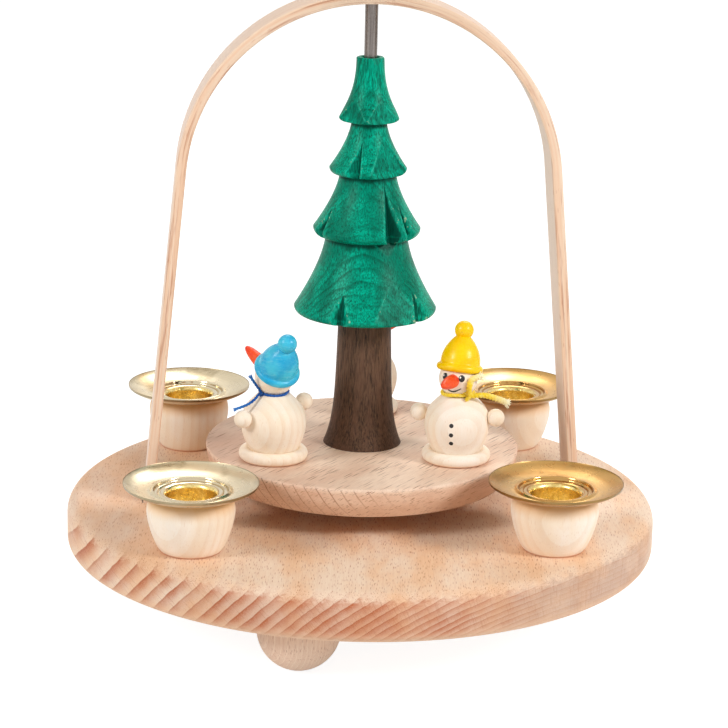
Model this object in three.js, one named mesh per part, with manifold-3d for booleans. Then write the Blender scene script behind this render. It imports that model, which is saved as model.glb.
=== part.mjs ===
// Candle carousel: a round beech base on ball feet, four candle holders, a bent wood arch,
// and a turntable with a carved tree and three snowmen, turned by a bladed rotor.
// Millimetres and degrees, +Z up. The origin is on the turning axis, on the surface it stands on.
// Turns are measured about +Z, from +X.

import * as THREE from 'three';
import { mergeVertices } from 'three/addons/utils/BufferGeometryUtils.js';
import Module from 'manifold-3d';

// Clearances
const GLUE_GAP = 0.3;
const RUNNING_CLEARANCE = 0.08;
const OVERRUN = 1;
const WELD = 0.0001;

// Base plate
const PLATE_THICKNESS = 14.6;
const PLATE_TOP_ROUND_RADIUS = 4.7;
const PLATE_BOTTOM_ROUND_RADIUS = 2.6;

// Ball feet, cut flat where they meet the plate and the table
const FOOT_COUNT = 3;
const FIRST_FOOT_TURN = 251;
const FOOT_RADIUS = 12.6;
const FOOT_DROP = 5.6;
const FOOT_FLAT_RADIUS = 3;
const FOOT_EDGE_MARGIN = 24;
const FOOT_STEPS = 5;

// Candle holders, one in each corner of a rectangle. The margin is left to the plate's edge.
const HOLDER_EDGE_MARGIN = 17.5;
const HOLDER_ANGLE = 43.9;
const HOLDER_FOOT_RADIUS = 9;
const HOLDER_BELLY_RADIUS = 13.2;
const HOLDER_TOP_RADIUS = 11.6;
const HOLDER_HEIGHT = 17.2;
const HOLDER_SIDE_SHARES = [[0.3, 0.11], [0.64, 0.31], [0.9, 0.54], [1, 0.74]];
const HOLDER_SHOULDER_SHARES = [0.35, 0.9];
const HOLDER_TENON_RADIUS = 4;
const HOLDER_TENON_LENGTH = 6;

// Brass drip plates, each pressed in one piece with its candle cup
const DRIP_RADIUS = 20.2;
const DRIP_RIM_RISE = 3.4;
const DRIP_RING_RADIUS = 11.3;
const DRIP_RING_RISE = 1.4;
const SHEET_THICKNESS = 0.5;
const DRIP_LIP_SHARES = [[0.22, 0.9], [0.6, 0.45], [1, 1]];
const DRIP_DISH_SHARES = [[0.1, 0.12], [0.6, 0.4], [1, 1]];
const CANDLE_CUP_RADIUS = 7.4;
const CANDLE_CUP_DEPTH = 10.5;

// Arch, bent from one flat lath
const ARCH_INNER_RADIUS = 56.1;
const ARCH_CENTRE_RISE = 100.8;
const ARCH_SPLAY = 5.4;
const ARCH_THICKNESS = 3.2;
const ARCH_WIDTH = 18;
const ARCH_TENON_LENGTH = 8;
const ARCH_EASING_RADIUS = 0.4;

// Spindle and its lower bearing
const SPINDLE_RADIUS = 2;
const SPINDLE_TIP_LENGTH = 5;
const BEARING_RADIUS = 5;
const BEARING_HEIGHT = 6;
const BEARING_SEAT_RADIUS = 3.2;
const BEARING_SEAT_DEPTH = 3.6;

// Turntable, and the room between it and the drip plates
const TURNTABLE_CLEARANCE = 5.9;
const TURNTABLE_LIFT = 7.7;
const TURNTABLE_THICKNESS = 9.7;
const TURNTABLE_TOP_ROUND_RADIUS = 0.9;
const TURNTABLE_UNDERCUT = 3.6;
const TURNTABLE_BAND_SHARES = [0.25, 0.45];
const TURNTABLE_ROUND_STEPS = 1;

// Trunk
const TRUNK_FOOT_RADIUS = 12.3;
const TRUNK_TOP_RADIUS = 8.2;
const TRUNK_HEIGHT = 42.4;
const TRUNK_TAPER_SHARE = 0.3;
const TRUNK_FLARE_POWER = 6;
const TRUNK_STEP_SHARES = [0, 0.04, 0.1, 0.2, 0.36, 0.65, 1];

// Tree tiers from the lowest up, as shares of the tree's widest radius and of its height. Each
// is a turned bell with a rounded lip, then carved. A cut lists its turn from the front, how
// far up the bell it starts, how deep it goes at the rim as a share of the rim's radius, and
// how far its two walls lean away from straight out. Walls at the facets' lean make one flat
// facet, and others make a notch. The top tier's cuts have a depth at their top too.
const TREE_RADIUS = 22.2;
const TREE_HEIGHT = 80;
const FACET_LEAN = 89;
const TIERS = [
  {
    name: 'tree_tier_1', rimShare: 1, neckShare: 0.575, heightShare: 0.306, lipShare: 0.085,
    power: 1.5,
    cuts: [
      { turn: -26, topShare: 0.32, depthShare: 0.12, left: 52, right: 50 },
      { turn: 48, topShare: 0.32, depthShare: 0.12, left: 46, right: 60 },
      { turn: 26, topShare: 0.46, depthShare: 0.05, left: FACET_LEAN, right: FACET_LEAN },
      { turn: 112, topShare: 0.4, depthShare: 0.12, left: 60, right: 30 },
      { turn: 152, topShare: 0.46, depthShare: 0.05, left: FACET_LEAN, right: FACET_LEAN },
      { turn: 198, topShare: 0.36, depthShare: 0.12, left: 34, right: 58 },
      { turn: 240, topShare: 0.32, depthShare: 0.12, left: 56, right: 34 },
    ],
  },
  {
    name: 'tree_tier_2', rimShare: 0.75, neckShare: 0.395, heightShare: 0.245, lipShare: 0.12,
    power: 1.5,
    cuts: [
      { turn: 29, topShare: 0.92, depthShare: 0.28, left: 40, right: 40 },
      { turn: 51, topShare: 0.5, depthShare: 0.2, left: 30, right: 30 },
      { turn: -64, topShare: 0.4, depthShare: 0.19, left: 46, right: 24 },
      { turn: 122, topShare: 0.5, depthShare: 0.2, left: 40, right: 30 },
      { turn: 178, topShare: 0.85, depthShare: 0.28, left: 40, right: 40 },
      { turn: 232, topShare: 0.44, depthShare: 0.19, left: 30, right: 46 },
    ],
  },
  {
    name: 'tree_tier_3', rimShare: 0.54, neckShare: 0.245, heightShare: 0.205, lipShare: 0.08,
    power: 1.58,
    cuts: [
      { turn: -20, topShare: 0.62, depthShare: 0.2, left: 66, right: 18 },
      { turn: 38, topShare: 0.66, depthShare: 0.18, left: FACET_LEAN, right: FACET_LEAN },
      { turn: 114, topShare: 0.6, depthShare: 0.18, left: 60, right: 20 },
      { turn: 172, topShare: 0.66, depthShare: 0.17, left: FACET_LEAN, right: FACET_LEAN },
      { turn: 242, topShare: 0.62, depthShare: 0.18, left: 20, right: 62 },
    ],
  },
  {
    name: 'tree_tier_4', rimShare: 0.425, neckShare: 0.195, heightShare: 0.244, lipShare: 0.055,
    power: 2.4, topDepthShare: 0.03,
    cuts: [
      { turn: -46, topShare: 0.96, depthShare: 0.15, left: FACET_LEAN, right: FACET_LEAN },
      { turn: 26, topShare: 0.96, depthShare: 0.15, left: FACET_LEAN, right: FACET_LEAN },
      { turn: 98, topShare: 0.96, depthShare: 0.07, left: FACET_LEAN, right: FACET_LEAN },
      { turn: 170, topShare: 0.96, depthShare: 0.15, left: FACET_LEAN, right: FACET_LEAN },
      { turn: 242, topShare: 0.96, depthShare: 0.15, left: FACET_LEAN, right: FACET_LEAN },
    ],
  },
];
const TIER_LIP_SHARES = [0.25, 0.5];
const FRONT_TURN = -90;
const BELL_STEPS = 5;

// Snowmen, facing their own +X: a ring, a pear-shaped body, a ball head, a hat and a carrot nose.
// They stand clear of the trunk's foot, with a margin left to the turntable's edge.
const TRUNK_CLEARANCE = 10.8;
const FIGURE_EDGE_MARGIN = 15.6;
const RING_TUBE_RADIUS = 2;
const RING_CENTRE_SHARE = 0.86;
const RING_SEAT_SHARE = 0.92;
const BODY_RADIUS = 10.1;
const BODY_HEIGHT = 21;
const BODY_OUTLINE_SHARES = [
  [0.56, 0.06], [0.75, 0.16], [0.9, 0.32], [0.99, 0.49], [0.98, 0.66], [0.84, 0.82], [0.48, 1],
];
const HEAD_RADIUS = 6;
const NECK_FLAT_SHARE = 0.5;
const HAND_RADIUS = 2.75;
const HAND_SEAT_SHARE = 0.2;
const HAND_RISE_SHARE = 0.69;
const NOSE_RADIUS = 2.1;
const NOSE_LENGTH = 9.4;
const NOSE_DIP = 8;
const NOSE_ROOT_SHARE = 0.7;
const NOSE_STEPS = 4;
const HAT_SEAT_SHARE = 0.34;
const HAT_BRIM_RADIUS = 7.2;
const HAT_BRIM_THICKNESS = 2.5;
const HAT_BRIM_END_TURN = 60;
const HAT_BRIM_STEPS = 3;
const HAT_HEIGHT = 10.9;
const HAT_CROWN_SHARES = [[0.86, 0.27], [0.82, 0.44], [0.7, 0.66], [0.5, 0.87], [0.31, 1]];
const HAT_ROUGHNESS = 0.3;
const POMPOM_RADIUS = 2.95;
const POMPOM_STEPS = 4;
const SCARF_TUBE_RADIUS = 0.5;
const SCARF_RADIUS_SHARE = 0.88;
const SCARF_RISE_SHARE = 0.12;
const SCARF_KNOT_RADIUS = 1.1;
const SCARF_TAIL_STEPS = 4;
const SCARF_ROUGHNESS = 0.8;

// Each figure's turn round the turntable, where its body and head face, how its head tilts
// and rolls, where its scarf is knotted, how much higher its hands sit than usual, and the
// routes of its scarf's tails from the knot as shares of the head's radius: out, sideways, up
const FIGURES = [
  {
    name: 'snowman_yellow', turn: 325.7, bodyTurn: 253.6, headTurn: -8, tilt: 13, roll: 1.2,
    knotTurn: 58, handRiseShares: [0, 0], hat: 0xf6c400, scarf: 0xf2cf2a,
    tailShares: [
      [[0.16, 0.1, 0.02], [0.45, 0.75, 0.06], [0.62, 1.25, -0.02], [0.72, 1.75, -0.14]],
      [[0.1, 0.02, 0.2], [0.26, 0.08, 0.7], [0.26, 0.36, 1.05], [0.16, 0.8, 1.06]],
    ],
  },
  {
    name: 'snowman_blue', turn: 211.5, bodyTurn: 126.6, headTurn: 2, tilt: 33, roll: 7.3,
    knotTurn: 90, handRiseShares: [0.01, 0.08], hat: 0x2ea3cf, scarf: 0x1558a8,
    tailShares: [
      [[0.16, 0, 0.02], [0.45, 0.02, -0.18], [0.85, -0.02, -0.34], [1.4, -0.2, -0.44]],
      [[0.1, 0, 0.2], [0.3, -0.05, 0.45], [0.5, -0.1, 0.75], [0.66, -0.14, 1.05]],
    ],
  },
  {
    name: 'snowman_red', turn: 84, bodyTurn: 11.6, headTurn: 0, tilt: 30, roll: 5,
    knotTurn: 70, handRiseShares: [0, 0], hat: 0xc23327, scarf: 0xb42a22,
    tailShares: [
      [[0.16, 0.1, 0.02], [0.45, 0.5, -0.06], [0.75, 0.9, -0.16], [1, 1.3, -0.24]],
      [[0.1, 0, 0.2], [0.28, 0.05, 0.5], [0.42, 0.16, 0.8], [0.52, 0.3, 1.1]],
    ],
  },
];

// Rotor, pushed on the spindle's upper end
const ROTOR_LIFT = 30;
const HUB_RADIUS = 15;
const HUB_HEIGHT = 16;
const HUB_ROUND_RADIUS = 2.4;
const HUB_BORE_DEPTH = 9;
const FINIAL_RADIUS = 6;
const FINIAL_HEIGHT = 11;
const FINIAL_TENON_RADIUS = 2.5;
const FINIAL_TENON_LENGTH = 4;
const FINIAL_OUTLINE_SHARES = [
  [0.85, 0], [0.85, 0.12], [0.55, 0.26], [0.82, 0.46], [0.8, 0.7], [0.45, 0.92],
];
const BLADE_COUNT = 8;
const BLADE_TIP_REACH = 96;
const BLADE_ROOT_REACH = 31;
const BLADE_ROOT_WIDTH = 21;
const BLADE_TIP_WIDTH = 38;
const BLADE_THICKNESS = 1.2;
const BLADE_CORNER_RADIUS = 6;
const BLADE_PITCH = 45;
const PEG_RADIUS = 1.8;
const PEG_DEPTH = 8;
const PEG_OVERLAP = 16;

// Facets round each turned form
const PLATE_FACETS = 48;
const TURNTABLE_FACETS = 40;
const TREE_FACETS = 24;
const TRUNK_FACETS = 20;
const HOLDER_FACETS = 16;
const DRIP_FACETS = 16;
const FIGURE_FACETS = 14;
const HAT_FACETS = 12;
const SMALL_FACETS = 8;
const KNOT_FACETS = 6;
const SHAFT_FACETS = 12;
const STRING_FACETS = 5;
const ROUND_STEPS = 2;
const ARCH_STEPS = 15;
const QUARTER_TURN = 90;
const HALF_TURN = 180;
const FULL_TURN = 360;

const wasm = await Module();
wasm.setup();

// Plain sums
const radians = (turn) => THREE.MathUtils.degToRad(turn);
const degrees = (angle) => THREE.MathUtils.radToDeg(angle);
const across = (hypotenuse, side) => Math.sqrt(hypotenuse * hypotenuse - side * side);
const mix = (start, end, share) => start + (end - start) * share;

// The radius at which a faceted hole clears a round of the given radius
const holeRadius = (radius, clearance, facets) => (radius + clearance) / Math.cos(Math.PI / facets);

// Points on a round, from one turn to another, as [radius, height] pairs
function roundPoints(centre, size, from, to, steps) {
  const points = [];
  for (let step = 0; step <= steps; step += 1) {
    const angle = radians(mix(from, to, step / steps));
    points.push([centre[0] + size * Math.cos(angle), centre[1] + size * Math.sin(angle)]);
  }
  return points;
}

// A turned form about +Z. Its profile runs up the outside, as [radius, height] pairs.
function turned(profile, facets) {
  const points = profile.map(([radius, height]) => new THREE.Vector2(radius, height));
  return new THREE.LatheGeometry(points, facets).rotateX(radians(QUARTER_TURN));
}

function ball(radius, facets) {
  const outline = roundPoints([0, 0], radius, -QUARTER_TURN, QUARTER_TURN, facets / 2);
  outline[0][0] = 0;
  outline[outline.length - 1][0] = 0;
  return turned(outline, facets);
}

function rod(radius, low, high, facets) {
  return turned([[0, low], [radius, low], [radius, high], [0, high]], facets);
}

// A block between two corners
function block(low, high) {
  const size = high.map((value, axis) => value - low[axis]);
  const middle = high.map((value, axis) => (value + low[axis]) / 2);
  return new THREE.BoxGeometry(...size).translate(...middle);
}

// Solids that can be joined and cut, and the way back to a geometry
function solidOf(geometry) {
  const bare = geometry.index ? geometry.toNonIndexed() : geometry.clone();
  bare.deleteAttribute('normal');
  bare.deleteAttribute('uv');
  const merged = mergeVertices(bare, WELD);
  return new wasm.Manifold(new wasm.Mesh({
    numProp: 3,
    vertProperties: merged.attributes.position.array,
    triVerts: new Uint32Array(merged.index.array),
  }));
}

function geometryOf(solid) {
  const mesh = solid.getMesh();
  const geometry = new THREE.BufferGeometry();
  geometry.setAttribute('position', new THREE.BufferAttribute(new Float32Array(mesh.vertProperties), 3));
  geometry.setIndex(new THREE.BufferAttribute(new Uint32Array(mesh.triVerts), 1));
  geometry.computeVertexNormals();
  return geometry;
}

function cutBy(geometry, cutters) {
  const whole = cutters.reduce((solid, cutter) => solid.subtract(solidOf(cutter)), solidOf(geometry));
  return geometryOf(whole);
}

function joined(geometries) {
  return geometryOf(geometries.map(solidOf).reduce((whole, solid) => whole.add(solid)));
}

// Finishes, as colour, roughness and metalness
const FINISHES = {
  beech: [0xdcb594, 0.62, 0],
  maple: [0xecd9b8, 0.55, 0],
  green: [0x12805f, 0.5, 0],
  bark: [0x4d3b31, 0.65, 0],
  brass: [0xcbb677, 0.3, 1],
  steel: [0x9a938d, 0.35, 1],
  carrot: [0xe8502a, 0.5, 0],
};

const carousel = new THREE.Group();

function place(parent, name, geometry, finish, spot = [0, 0, 0]) {
  const [color, roughness, metalness] = finish;
  const mesh = new THREE.Mesh(geometry, new THREE.MeshStandardMaterial({ color, roughness, metalness }));
  mesh.name = name;
  mesh.position.set(...spot);
  parent.add(mesh);
  return mesh;
}

// A spot on a circle round the axis
function onCircle(radius, turn, height) {
  return [radius * Math.cos(radians(turn)), radius * Math.sin(radians(turn)), height];
}

// Heights of the stack
const plateBottom = FOOT_DROP + across(FOOT_RADIUS, FOOT_FLAT_RADIUS);
const plateTop = plateBottom + PLATE_THICKNESS;
const turntableBottom = plateTop + TURNTABLE_LIFT;
const turntableTop = turntableBottom + TURNTABLE_THICKNESS;
const archCentre = plateTop + ARCH_CENTRE_RISE;
const archCrown = archCentre + ARCH_INNER_RADIUS + ARCH_THICKNESS;
const hubBottom = archCrown + ROTOR_LIFT;
const hubMiddle = hubBottom + HUB_HEIGHT / 2;
const spindleBottom = plateTop - BEARING_SEAT_DEPTH + GLUE_GAP;
const spindleTop = hubBottom + HUB_BORE_DEPTH - GLUE_GAP;

// Radii of the pattern, from the trunk outwards
const ringCentre = BODY_RADIUS * RING_CENTRE_SHARE;
const figureCircle = TRUNK_FOOT_RADIUS + TRUNK_CLEARANCE + ringCentre + RING_TUBE_RADIUS;
const turntableRadius = figureCircle + FIGURE_EDGE_MARGIN;
const holderCircle = turntableRadius + TURNTABLE_CLEARANCE + DRIP_RADIUS;
const plateRadius = holderCircle + HOLDER_EDGE_MARGIN;
const footCircle = plateRadius - FOOT_EDGE_MARGIN;
const shaftHole = holeRadius(SPINDLE_RADIUS, GLUE_GAP, SHAFT_FACETS);

// Arch: two legs that lean out, joined by a round crown, standing in mortises in the plate.
// A leg's face is square to its lean, so it meets the crown without a kink.
function legX(radius, height) {
  const start = archCentre + radius * Math.sin(radians(ARCH_SPLAY));
  return radius * Math.cos(radians(ARCH_SPLAY)) + (start - height) * Math.tan(radians(ARCH_SPLAY));
}

function makeArch() {
  const low = plateTop - ARCH_TENON_LENGTH;
  const inner = ARCH_INNER_RADIUS;
  const outer = ARCH_INNER_RADIUS + ARCH_THICKNESS;
  const shape = new THREE.Shape();
  shape.moveTo(legX(inner, low), low);
  shape.lineTo(legX(outer, low), low);
  shape.absarc(0, archCentre, outer, radians(ARCH_SPLAY), Math.PI - radians(ARCH_SPLAY), false);
  shape.lineTo(-legX(outer, low), low);
  shape.lineTo(-legX(inner, low), low);
  shape.absarc(0, archCentre, inner, Math.PI - radians(ARCH_SPLAY), radians(ARCH_SPLAY), true);
  shape.closePath();
  const lath = new THREE.ExtrudeGeometry(shape, {
    depth: ARCH_WIDTH - 2 * ARCH_EASING_RADIUS,
    curveSegments: ARCH_STEPS,
    bevelEnabled: true,
    bevelSegments: 1,
    bevelSize: ARCH_EASING_RADIUS,
    bevelThickness: ARCH_EASING_RADIUS,
    bevelOffset: -ARCH_EASING_RADIUS,
  });
  lath.rotateX(radians(QUARTER_TURN)).translate(0, ARCH_WIDTH / 2 - ARCH_EASING_RADIUS, 0);
  const bore = rod(
    holeRadius(SPINDLE_RADIUS, RUNNING_CLEARANCE, SHAFT_FACETS),
    archCentre, archCrown + OVERRUN, SHAFT_FACETS,
  );
  return cutBy(lath, [bore]);
}

// The mortise that one leg of the arch stands in
function makeMortise(side) {
  const low = plateTop - ARCH_TENON_LENGTH;
  const high = plateTop + OVERRUN;
  const inner = (height) => legX(ARCH_INNER_RADIUS, height) - GLUE_GAP;
  const outer = (height) => legX(ARCH_INNER_RADIUS + ARCH_THICKNESS, height) + GLUE_GAP;
  const shape = new THREE.Shape();
  shape.moveTo(side * inner(low), low);
  shape.lineTo(side * outer(low), low);
  shape.lineTo(side * outer(high), high);
  shape.lineTo(side * inner(high), high);
  shape.closePath();
  const width = ARCH_WIDTH + 2 * GLUE_GAP;
  const cutter = new THREE.ExtrudeGeometry(shape, { depth: width, bevelEnabled: false });
  return cutter.rotateX(radians(QUARTER_TURN)).translate(0, width / 2, 0);
}

// Base plate with its rounded edges, holes for the holders and the bearing, and the mortises
const holderTurns = [HOLDER_ANGLE, HALF_TURN - HOLDER_ANGLE, HALF_TURN + HOLDER_ANGLE, -HOLDER_ANGLE];

function makePlate() {
  const profile = [
    [0, plateBottom],
    ...roundPoints(
      [plateRadius - PLATE_BOTTOM_ROUND_RADIUS, plateBottom + PLATE_BOTTOM_ROUND_RADIUS],
      PLATE_BOTTOM_ROUND_RADIUS, -QUARTER_TURN, 0, ROUND_STEPS,
    ),
    ...roundPoints(
      [plateRadius - PLATE_TOP_ROUND_RADIUS, plateTop - PLATE_TOP_ROUND_RADIUS],
      PLATE_TOP_ROUND_RADIUS, 0, QUARTER_TURN, ROUND_STEPS,
    ),
    [0, plateTop],
  ];
  const hole = holeRadius(HOLDER_TENON_RADIUS, GLUE_GAP, SMALL_FACETS);
  const holes = holderTurns.map((turn) => rod(
    hole, plateTop - HOLDER_TENON_LENGTH - GLUE_GAP, plateTop + OVERRUN, SMALL_FACETS,
  ).translate(...onCircle(holderCircle, turn, 0)));
  const pocket = rod(
    holeRadius(BEARING_RADIUS, GLUE_GAP, SHAFT_FACETS),
    plateTop - BEARING_HEIGHT, plateTop + OVERRUN, SHAFT_FACETS,
  );
  return cutBy(turned(profile, PLATE_FACETS), [...holes, pocket, makeMortise(1), makeMortise(-1)]);
}

function makeFoot() {
  const low = degrees(Math.asin(FOOT_FLAT_RADIUS / FOOT_RADIUS)) - QUARTER_TURN;
  const high = degrees(Math.asin(FOOT_DROP / FOOT_RADIUS));
  const centre = across(FOOT_RADIUS, FOOT_FLAT_RADIUS);
  const side = roundPoints([0, centre], FOOT_RADIUS, low, high, FOOT_STEPS);
  side[0][1] = 0;
  side[side.length - 1][1] = plateBottom;
  return geometryOf(solidOf(turned([[0, 0], ...side, [0, plateBottom]], FIGURE_FACETS)));
}

place(carousel, 'base_plate', makePlate(), FINISHES.beech);
for (let foot = 0; foot < FOOT_COUNT; foot += 1) {
  const turn = FIRST_FOOT_TURN + (foot * FULL_TURN) / FOOT_COUNT;
  place(carousel, `ball_foot_${foot + 1}`, makeFoot(), FINISHES.beech, onCircle(footCircle, turn, 0));
}
place(carousel, 'arch', makeArch(), FINISHES.beech);

// Candle holders: a turned bowl with a tenon below and a socket for the candle cup
const socketRadius = holeRadius(CANDLE_CUP_RADIUS + SHEET_THICKNESS, GLUE_GAP, HOLDER_FACETS);

function makeHolder() {
  const side = HOLDER_SIDE_SHARES.map(([out, up]) => [
    mix(HOLDER_FOOT_RADIUS, HOLDER_BELLY_RADIUS, out), HOLDER_HEIGHT * up,
  ]);
  const [shoulderOut, shoulderUp] = HOLDER_SHOULDER_SHARES;
  const floor = HOLDER_HEIGHT - CANDLE_CUP_DEPTH - SHEET_THICKNESS - GLUE_GAP;
  const profile = [
    [0, -HOLDER_TENON_LENGTH],
    [HOLDER_TENON_RADIUS, -HOLDER_TENON_LENGTH],
    [HOLDER_TENON_RADIUS, 0],
    [HOLDER_FOOT_RADIUS, 0],
    ...side,
    [mix(HOLDER_BELLY_RADIUS, HOLDER_TOP_RADIUS, shoulderOut), HOLDER_HEIGHT * shoulderUp],
    [HOLDER_TOP_RADIUS, HOLDER_HEIGHT],
    [socketRadius, HOLDER_HEIGHT],
    [socketRadius, floor],
    [0, floor],
  ];
  return geometryOf(solidOf(turned(profile, HOLDER_FACETS)));
}

// Drip plate, as heights over the holder's top: shares run from the cup's lip out to the
// ring, and from the ring out to the rim
function makeDripPlate() {
  const upper = [
    ...DRIP_LIP_SHARES.map(([out, rise]) => [
      mix(CANDLE_CUP_RADIUS, DRIP_RING_RADIUS, out), SHEET_THICKNESS + DRIP_RING_RISE * rise,
    ]),
    ...DRIP_DISH_SHARES.map(([out, rise]) => [
      mix(DRIP_RING_RADIUS, DRIP_RADIUS, out), SHEET_THICKNESS + DRIP_RIM_RISE * rise,
    ]),
  ];
  const lower = upper.slice(1).map(([radius, height]) => [radius, height - SHEET_THICKNESS]);
  lower[lower.length - 1][0] = DRIP_RADIUS - SHEET_THICKNESS / 2;
  const profile = [
    [0, -CANDLE_CUP_DEPTH - SHEET_THICKNESS],
    [CANDLE_CUP_RADIUS + SHEET_THICKNESS, -CANDLE_CUP_DEPTH - SHEET_THICKNESS],
    [CANDLE_CUP_RADIUS + SHEET_THICKNESS, 0],
    ...lower,
    ...upper.reverse(),
    [CANDLE_CUP_RADIUS, SHEET_THICKNESS],
    [CANDLE_CUP_RADIUS, -CANDLE_CUP_DEPTH],
    [0, -CANDLE_CUP_DEPTH],
  ];
  return geometryOf(solidOf(turned(profile, DRIP_FACETS)));
}

holderTurns.forEach((turn, index) => {
  place(
    carousel, `candle_holder_${index + 1}`, makeHolder(), FINISHES.maple,
    onCircle(holderCircle, turn, plateTop),
  );
  place(
    carousel, `drip_plate_${index + 1}`, makeDripPlate(), FINISHES.brass,
    onCircle(holderCircle, turn, plateTop + HOLDER_HEIGHT),
  );
});

// Lower bearing: a brass bush with a cone for the spindle's point
const bearing = turned([
  [0, -BEARING_HEIGHT],
  [BEARING_RADIUS, -BEARING_HEIGHT],
  [BEARING_RADIUS, 0],
  [BEARING_SEAT_RADIUS, 0],
  [0, -BEARING_SEAT_DEPTH],
], SHAFT_FACETS);
place(carousel, 'lower_bearing', geometryOf(solidOf(bearing)), FINISHES.brass, [0, 0, plateTop]);

const spindle = turned([
  [0, spindleBottom],
  [SPINDLE_RADIUS, spindleBottom + SPINDLE_TIP_LENGTH],
  [SPINDLE_RADIUS, spindleTop],
  [0, spindleTop],
], SHAFT_FACETS);
place(carousel, 'spindle', geometryOf(solidOf(spindle)), FINISHES.steel);

// Turntable: its band draws in towards the bottom
function makeTurntable() {
  const [bandIn, bandUp] = TURNTABLE_BAND_SHARES;
  const profile = [
    [0, turntableBottom],
    [turntableRadius - TURNTABLE_UNDERCUT, turntableBottom],
    [turntableRadius - TURNTABLE_UNDERCUT * bandIn, mix(turntableBottom, turntableTop, bandUp)],
    ...roundPoints(
      [turntableRadius - TURNTABLE_TOP_ROUND_RADIUS, turntableTop - TURNTABLE_TOP_ROUND_RADIUS],
      TURNTABLE_TOP_ROUND_RADIUS, 0, QUARTER_TURN, TURNTABLE_ROUND_STEPS,
    ),
    [0, turntableTop],
  ];
  const bore = rod(shaftHole, turntableBottom - OVERRUN, turntableTop + OVERRUN, SHAFT_FACETS);
  return cutBy(turned(profile, TURNTABLE_FACETS), [bore]);
}
place(carousel, 'turntable', makeTurntable(), FINISHES.beech);

// Trunk: a straight taper with a flare at its foot
function makeTrunk() {
  const side = TRUNK_STEP_SHARES.map((up) => {
    const taper = TRUNK_TAPER_SHARE * (1 - up);
    const flare = (1 - TRUNK_TAPER_SHARE) * (1 - up) ** TRUNK_FLARE_POWER;
    return [mix(TRUNK_TOP_RADIUS, TRUNK_FOOT_RADIUS, taper + flare), TRUNK_HEIGHT * up];
  });
  const profile = [[0, 0], ...side, [0, TRUNK_HEIGHT]];
  const bore = rod(shaftHole, -OVERRUN, TRUNK_HEIGHT + OVERRUN, SHAFT_FACETS);
  return cutBy(turned(profile, TRUNK_FACETS), [bore]);
}
place(carousel, 'tree_trunk', makeTrunk(), FINISHES.bark, [0, 0, turntableTop]);

// Tree tiers
const tiers = TIERS.map((tier) => ({
  ...tier,
  rim: TREE_RADIUS * tier.rimShare,
  neck: TREE_RADIUS * tier.neckShare,
  height: TREE_HEIGHT * tier.heightShare,
  lip: TREE_RADIUS * tier.lipShare,
}));

function bellRadius(tier, share) {
  return mix(tier.neck, tier.rim, (1 - share) ** tier.power);
}

function makeTierCutter(tier, cut) {
  const start = new THREE.Vector2(
    bellRadius(tier, cut.topShare) - tier.rim * (tier.topDepthShare ?? 0),
    mix(tier.lip, tier.height, cut.topShare),
  );
  const end = new THREE.Vector2(tier.rim * (1 - cut.depthShare), 0);
  const length = start.distanceTo(end);
  const reach = tier.rim;
  const shape = new THREE.Shape();
  shape.moveTo(0, 0);
  shape.lineTo(-reach * Math.sin(radians(cut.left)), reach * Math.cos(radians(cut.left)));
  shape.lineTo(0, reach);
  shape.lineTo(reach * Math.sin(radians(cut.right)), reach * Math.cos(radians(cut.right)));
  shape.closePath();
  const wedge = new THREE.ExtrudeGeometry(shape, { depth: length + OVERRUN, bevelEnabled: false });
  const along = end.clone().sub(start).normalize();
  const basis = new THREE.Matrix4().makeBasis(
    new THREE.Vector3(0, 1, 0),
    new THREE.Vector3(-along.y, 0, along.x),
    new THREE.Vector3(along.x, 0, along.y),
  );
  wedge.applyMatrix4(basis).translate(start.x, 0, start.y);
  return wedge.rotateZ(radians(FRONT_TURN + cut.turn));
}

function makeTier(tier) {
  const bell = [];
  for (let step = 0; step <= BELL_STEPS; step += 1) {
    const share = step / BELL_STEPS;
    bell.push([bellRadius(tier, share), mix(tier.lip, tier.height, share)]);
  }
  const [lipIn, lipUp] = TIER_LIP_SHARES;
  const profile = [
    [0, 0],
    [tier.rim - tier.lip, 0],
    [tier.rim - tier.lip * lipIn, tier.lip * lipUp],
    ...bell,
    [0, tier.height],
  ];
  const bore = rod(shaftHole, -OVERRUN, tier.height + OVERRUN, SHAFT_FACETS);
  const cutters = tier.cuts.map((cut) => makeTierCutter(tier, cut));
  return cutBy(turned(profile, TREE_FACETS), [bore, ...cutters]);
}

let tierBottom = turntableTop + TRUNK_HEIGHT;
tiers.forEach((tier) => {
  place(carousel, tier.name, makeTier(tier), FINISHES.green, [0, 0, tierBottom]);
  tierBottom += tier.height;
});

// Snowmen
const ringHeight = RING_TUBE_RADIUS * RING_SEAT_SHARE;
const headRise = BODY_HEIGHT + across(HEAD_RADIUS, HEAD_RADIUS * NECK_FLAT_SHARE);

function ringProfile(tube) {
  const round = roundPoints([ringCentre, ringHeight], tube, 0, FULL_TURN, FIGURE_FACETS / 2);
  return round.map(([radius, height]) => [radius, Math.max(height, 0)]);
}

function makeRing() {
  return geometryOf(solidOf(turned(ringProfile(RING_TUBE_RADIUS), FIGURE_FACETS)));
}

function makeBody() {
  const side = BODY_OUTLINE_SHARES.map(([out, up]) => [BODY_RADIUS * out, BODY_HEIGHT * up]);
  const low = side[0][1];
  const profile = [[0, low], ...side, [0, BODY_HEIGHT]];
  const seat = turned(ringProfile(RING_TUBE_RADIUS + GLUE_GAP), FIGURE_FACETS);
  return cutBy(turned(profile, FIGURE_FACETS), [seat]);
}

// How a figure's head turns on its neck
function headTurn(figure) {
  const angles = [-figure.roll, -figure.tilt, figure.headTurn].map(radians);
  return new THREE.Quaternion().setFromEuler(new THREE.Euler(...angles, 'ZYX'));
}

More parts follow.
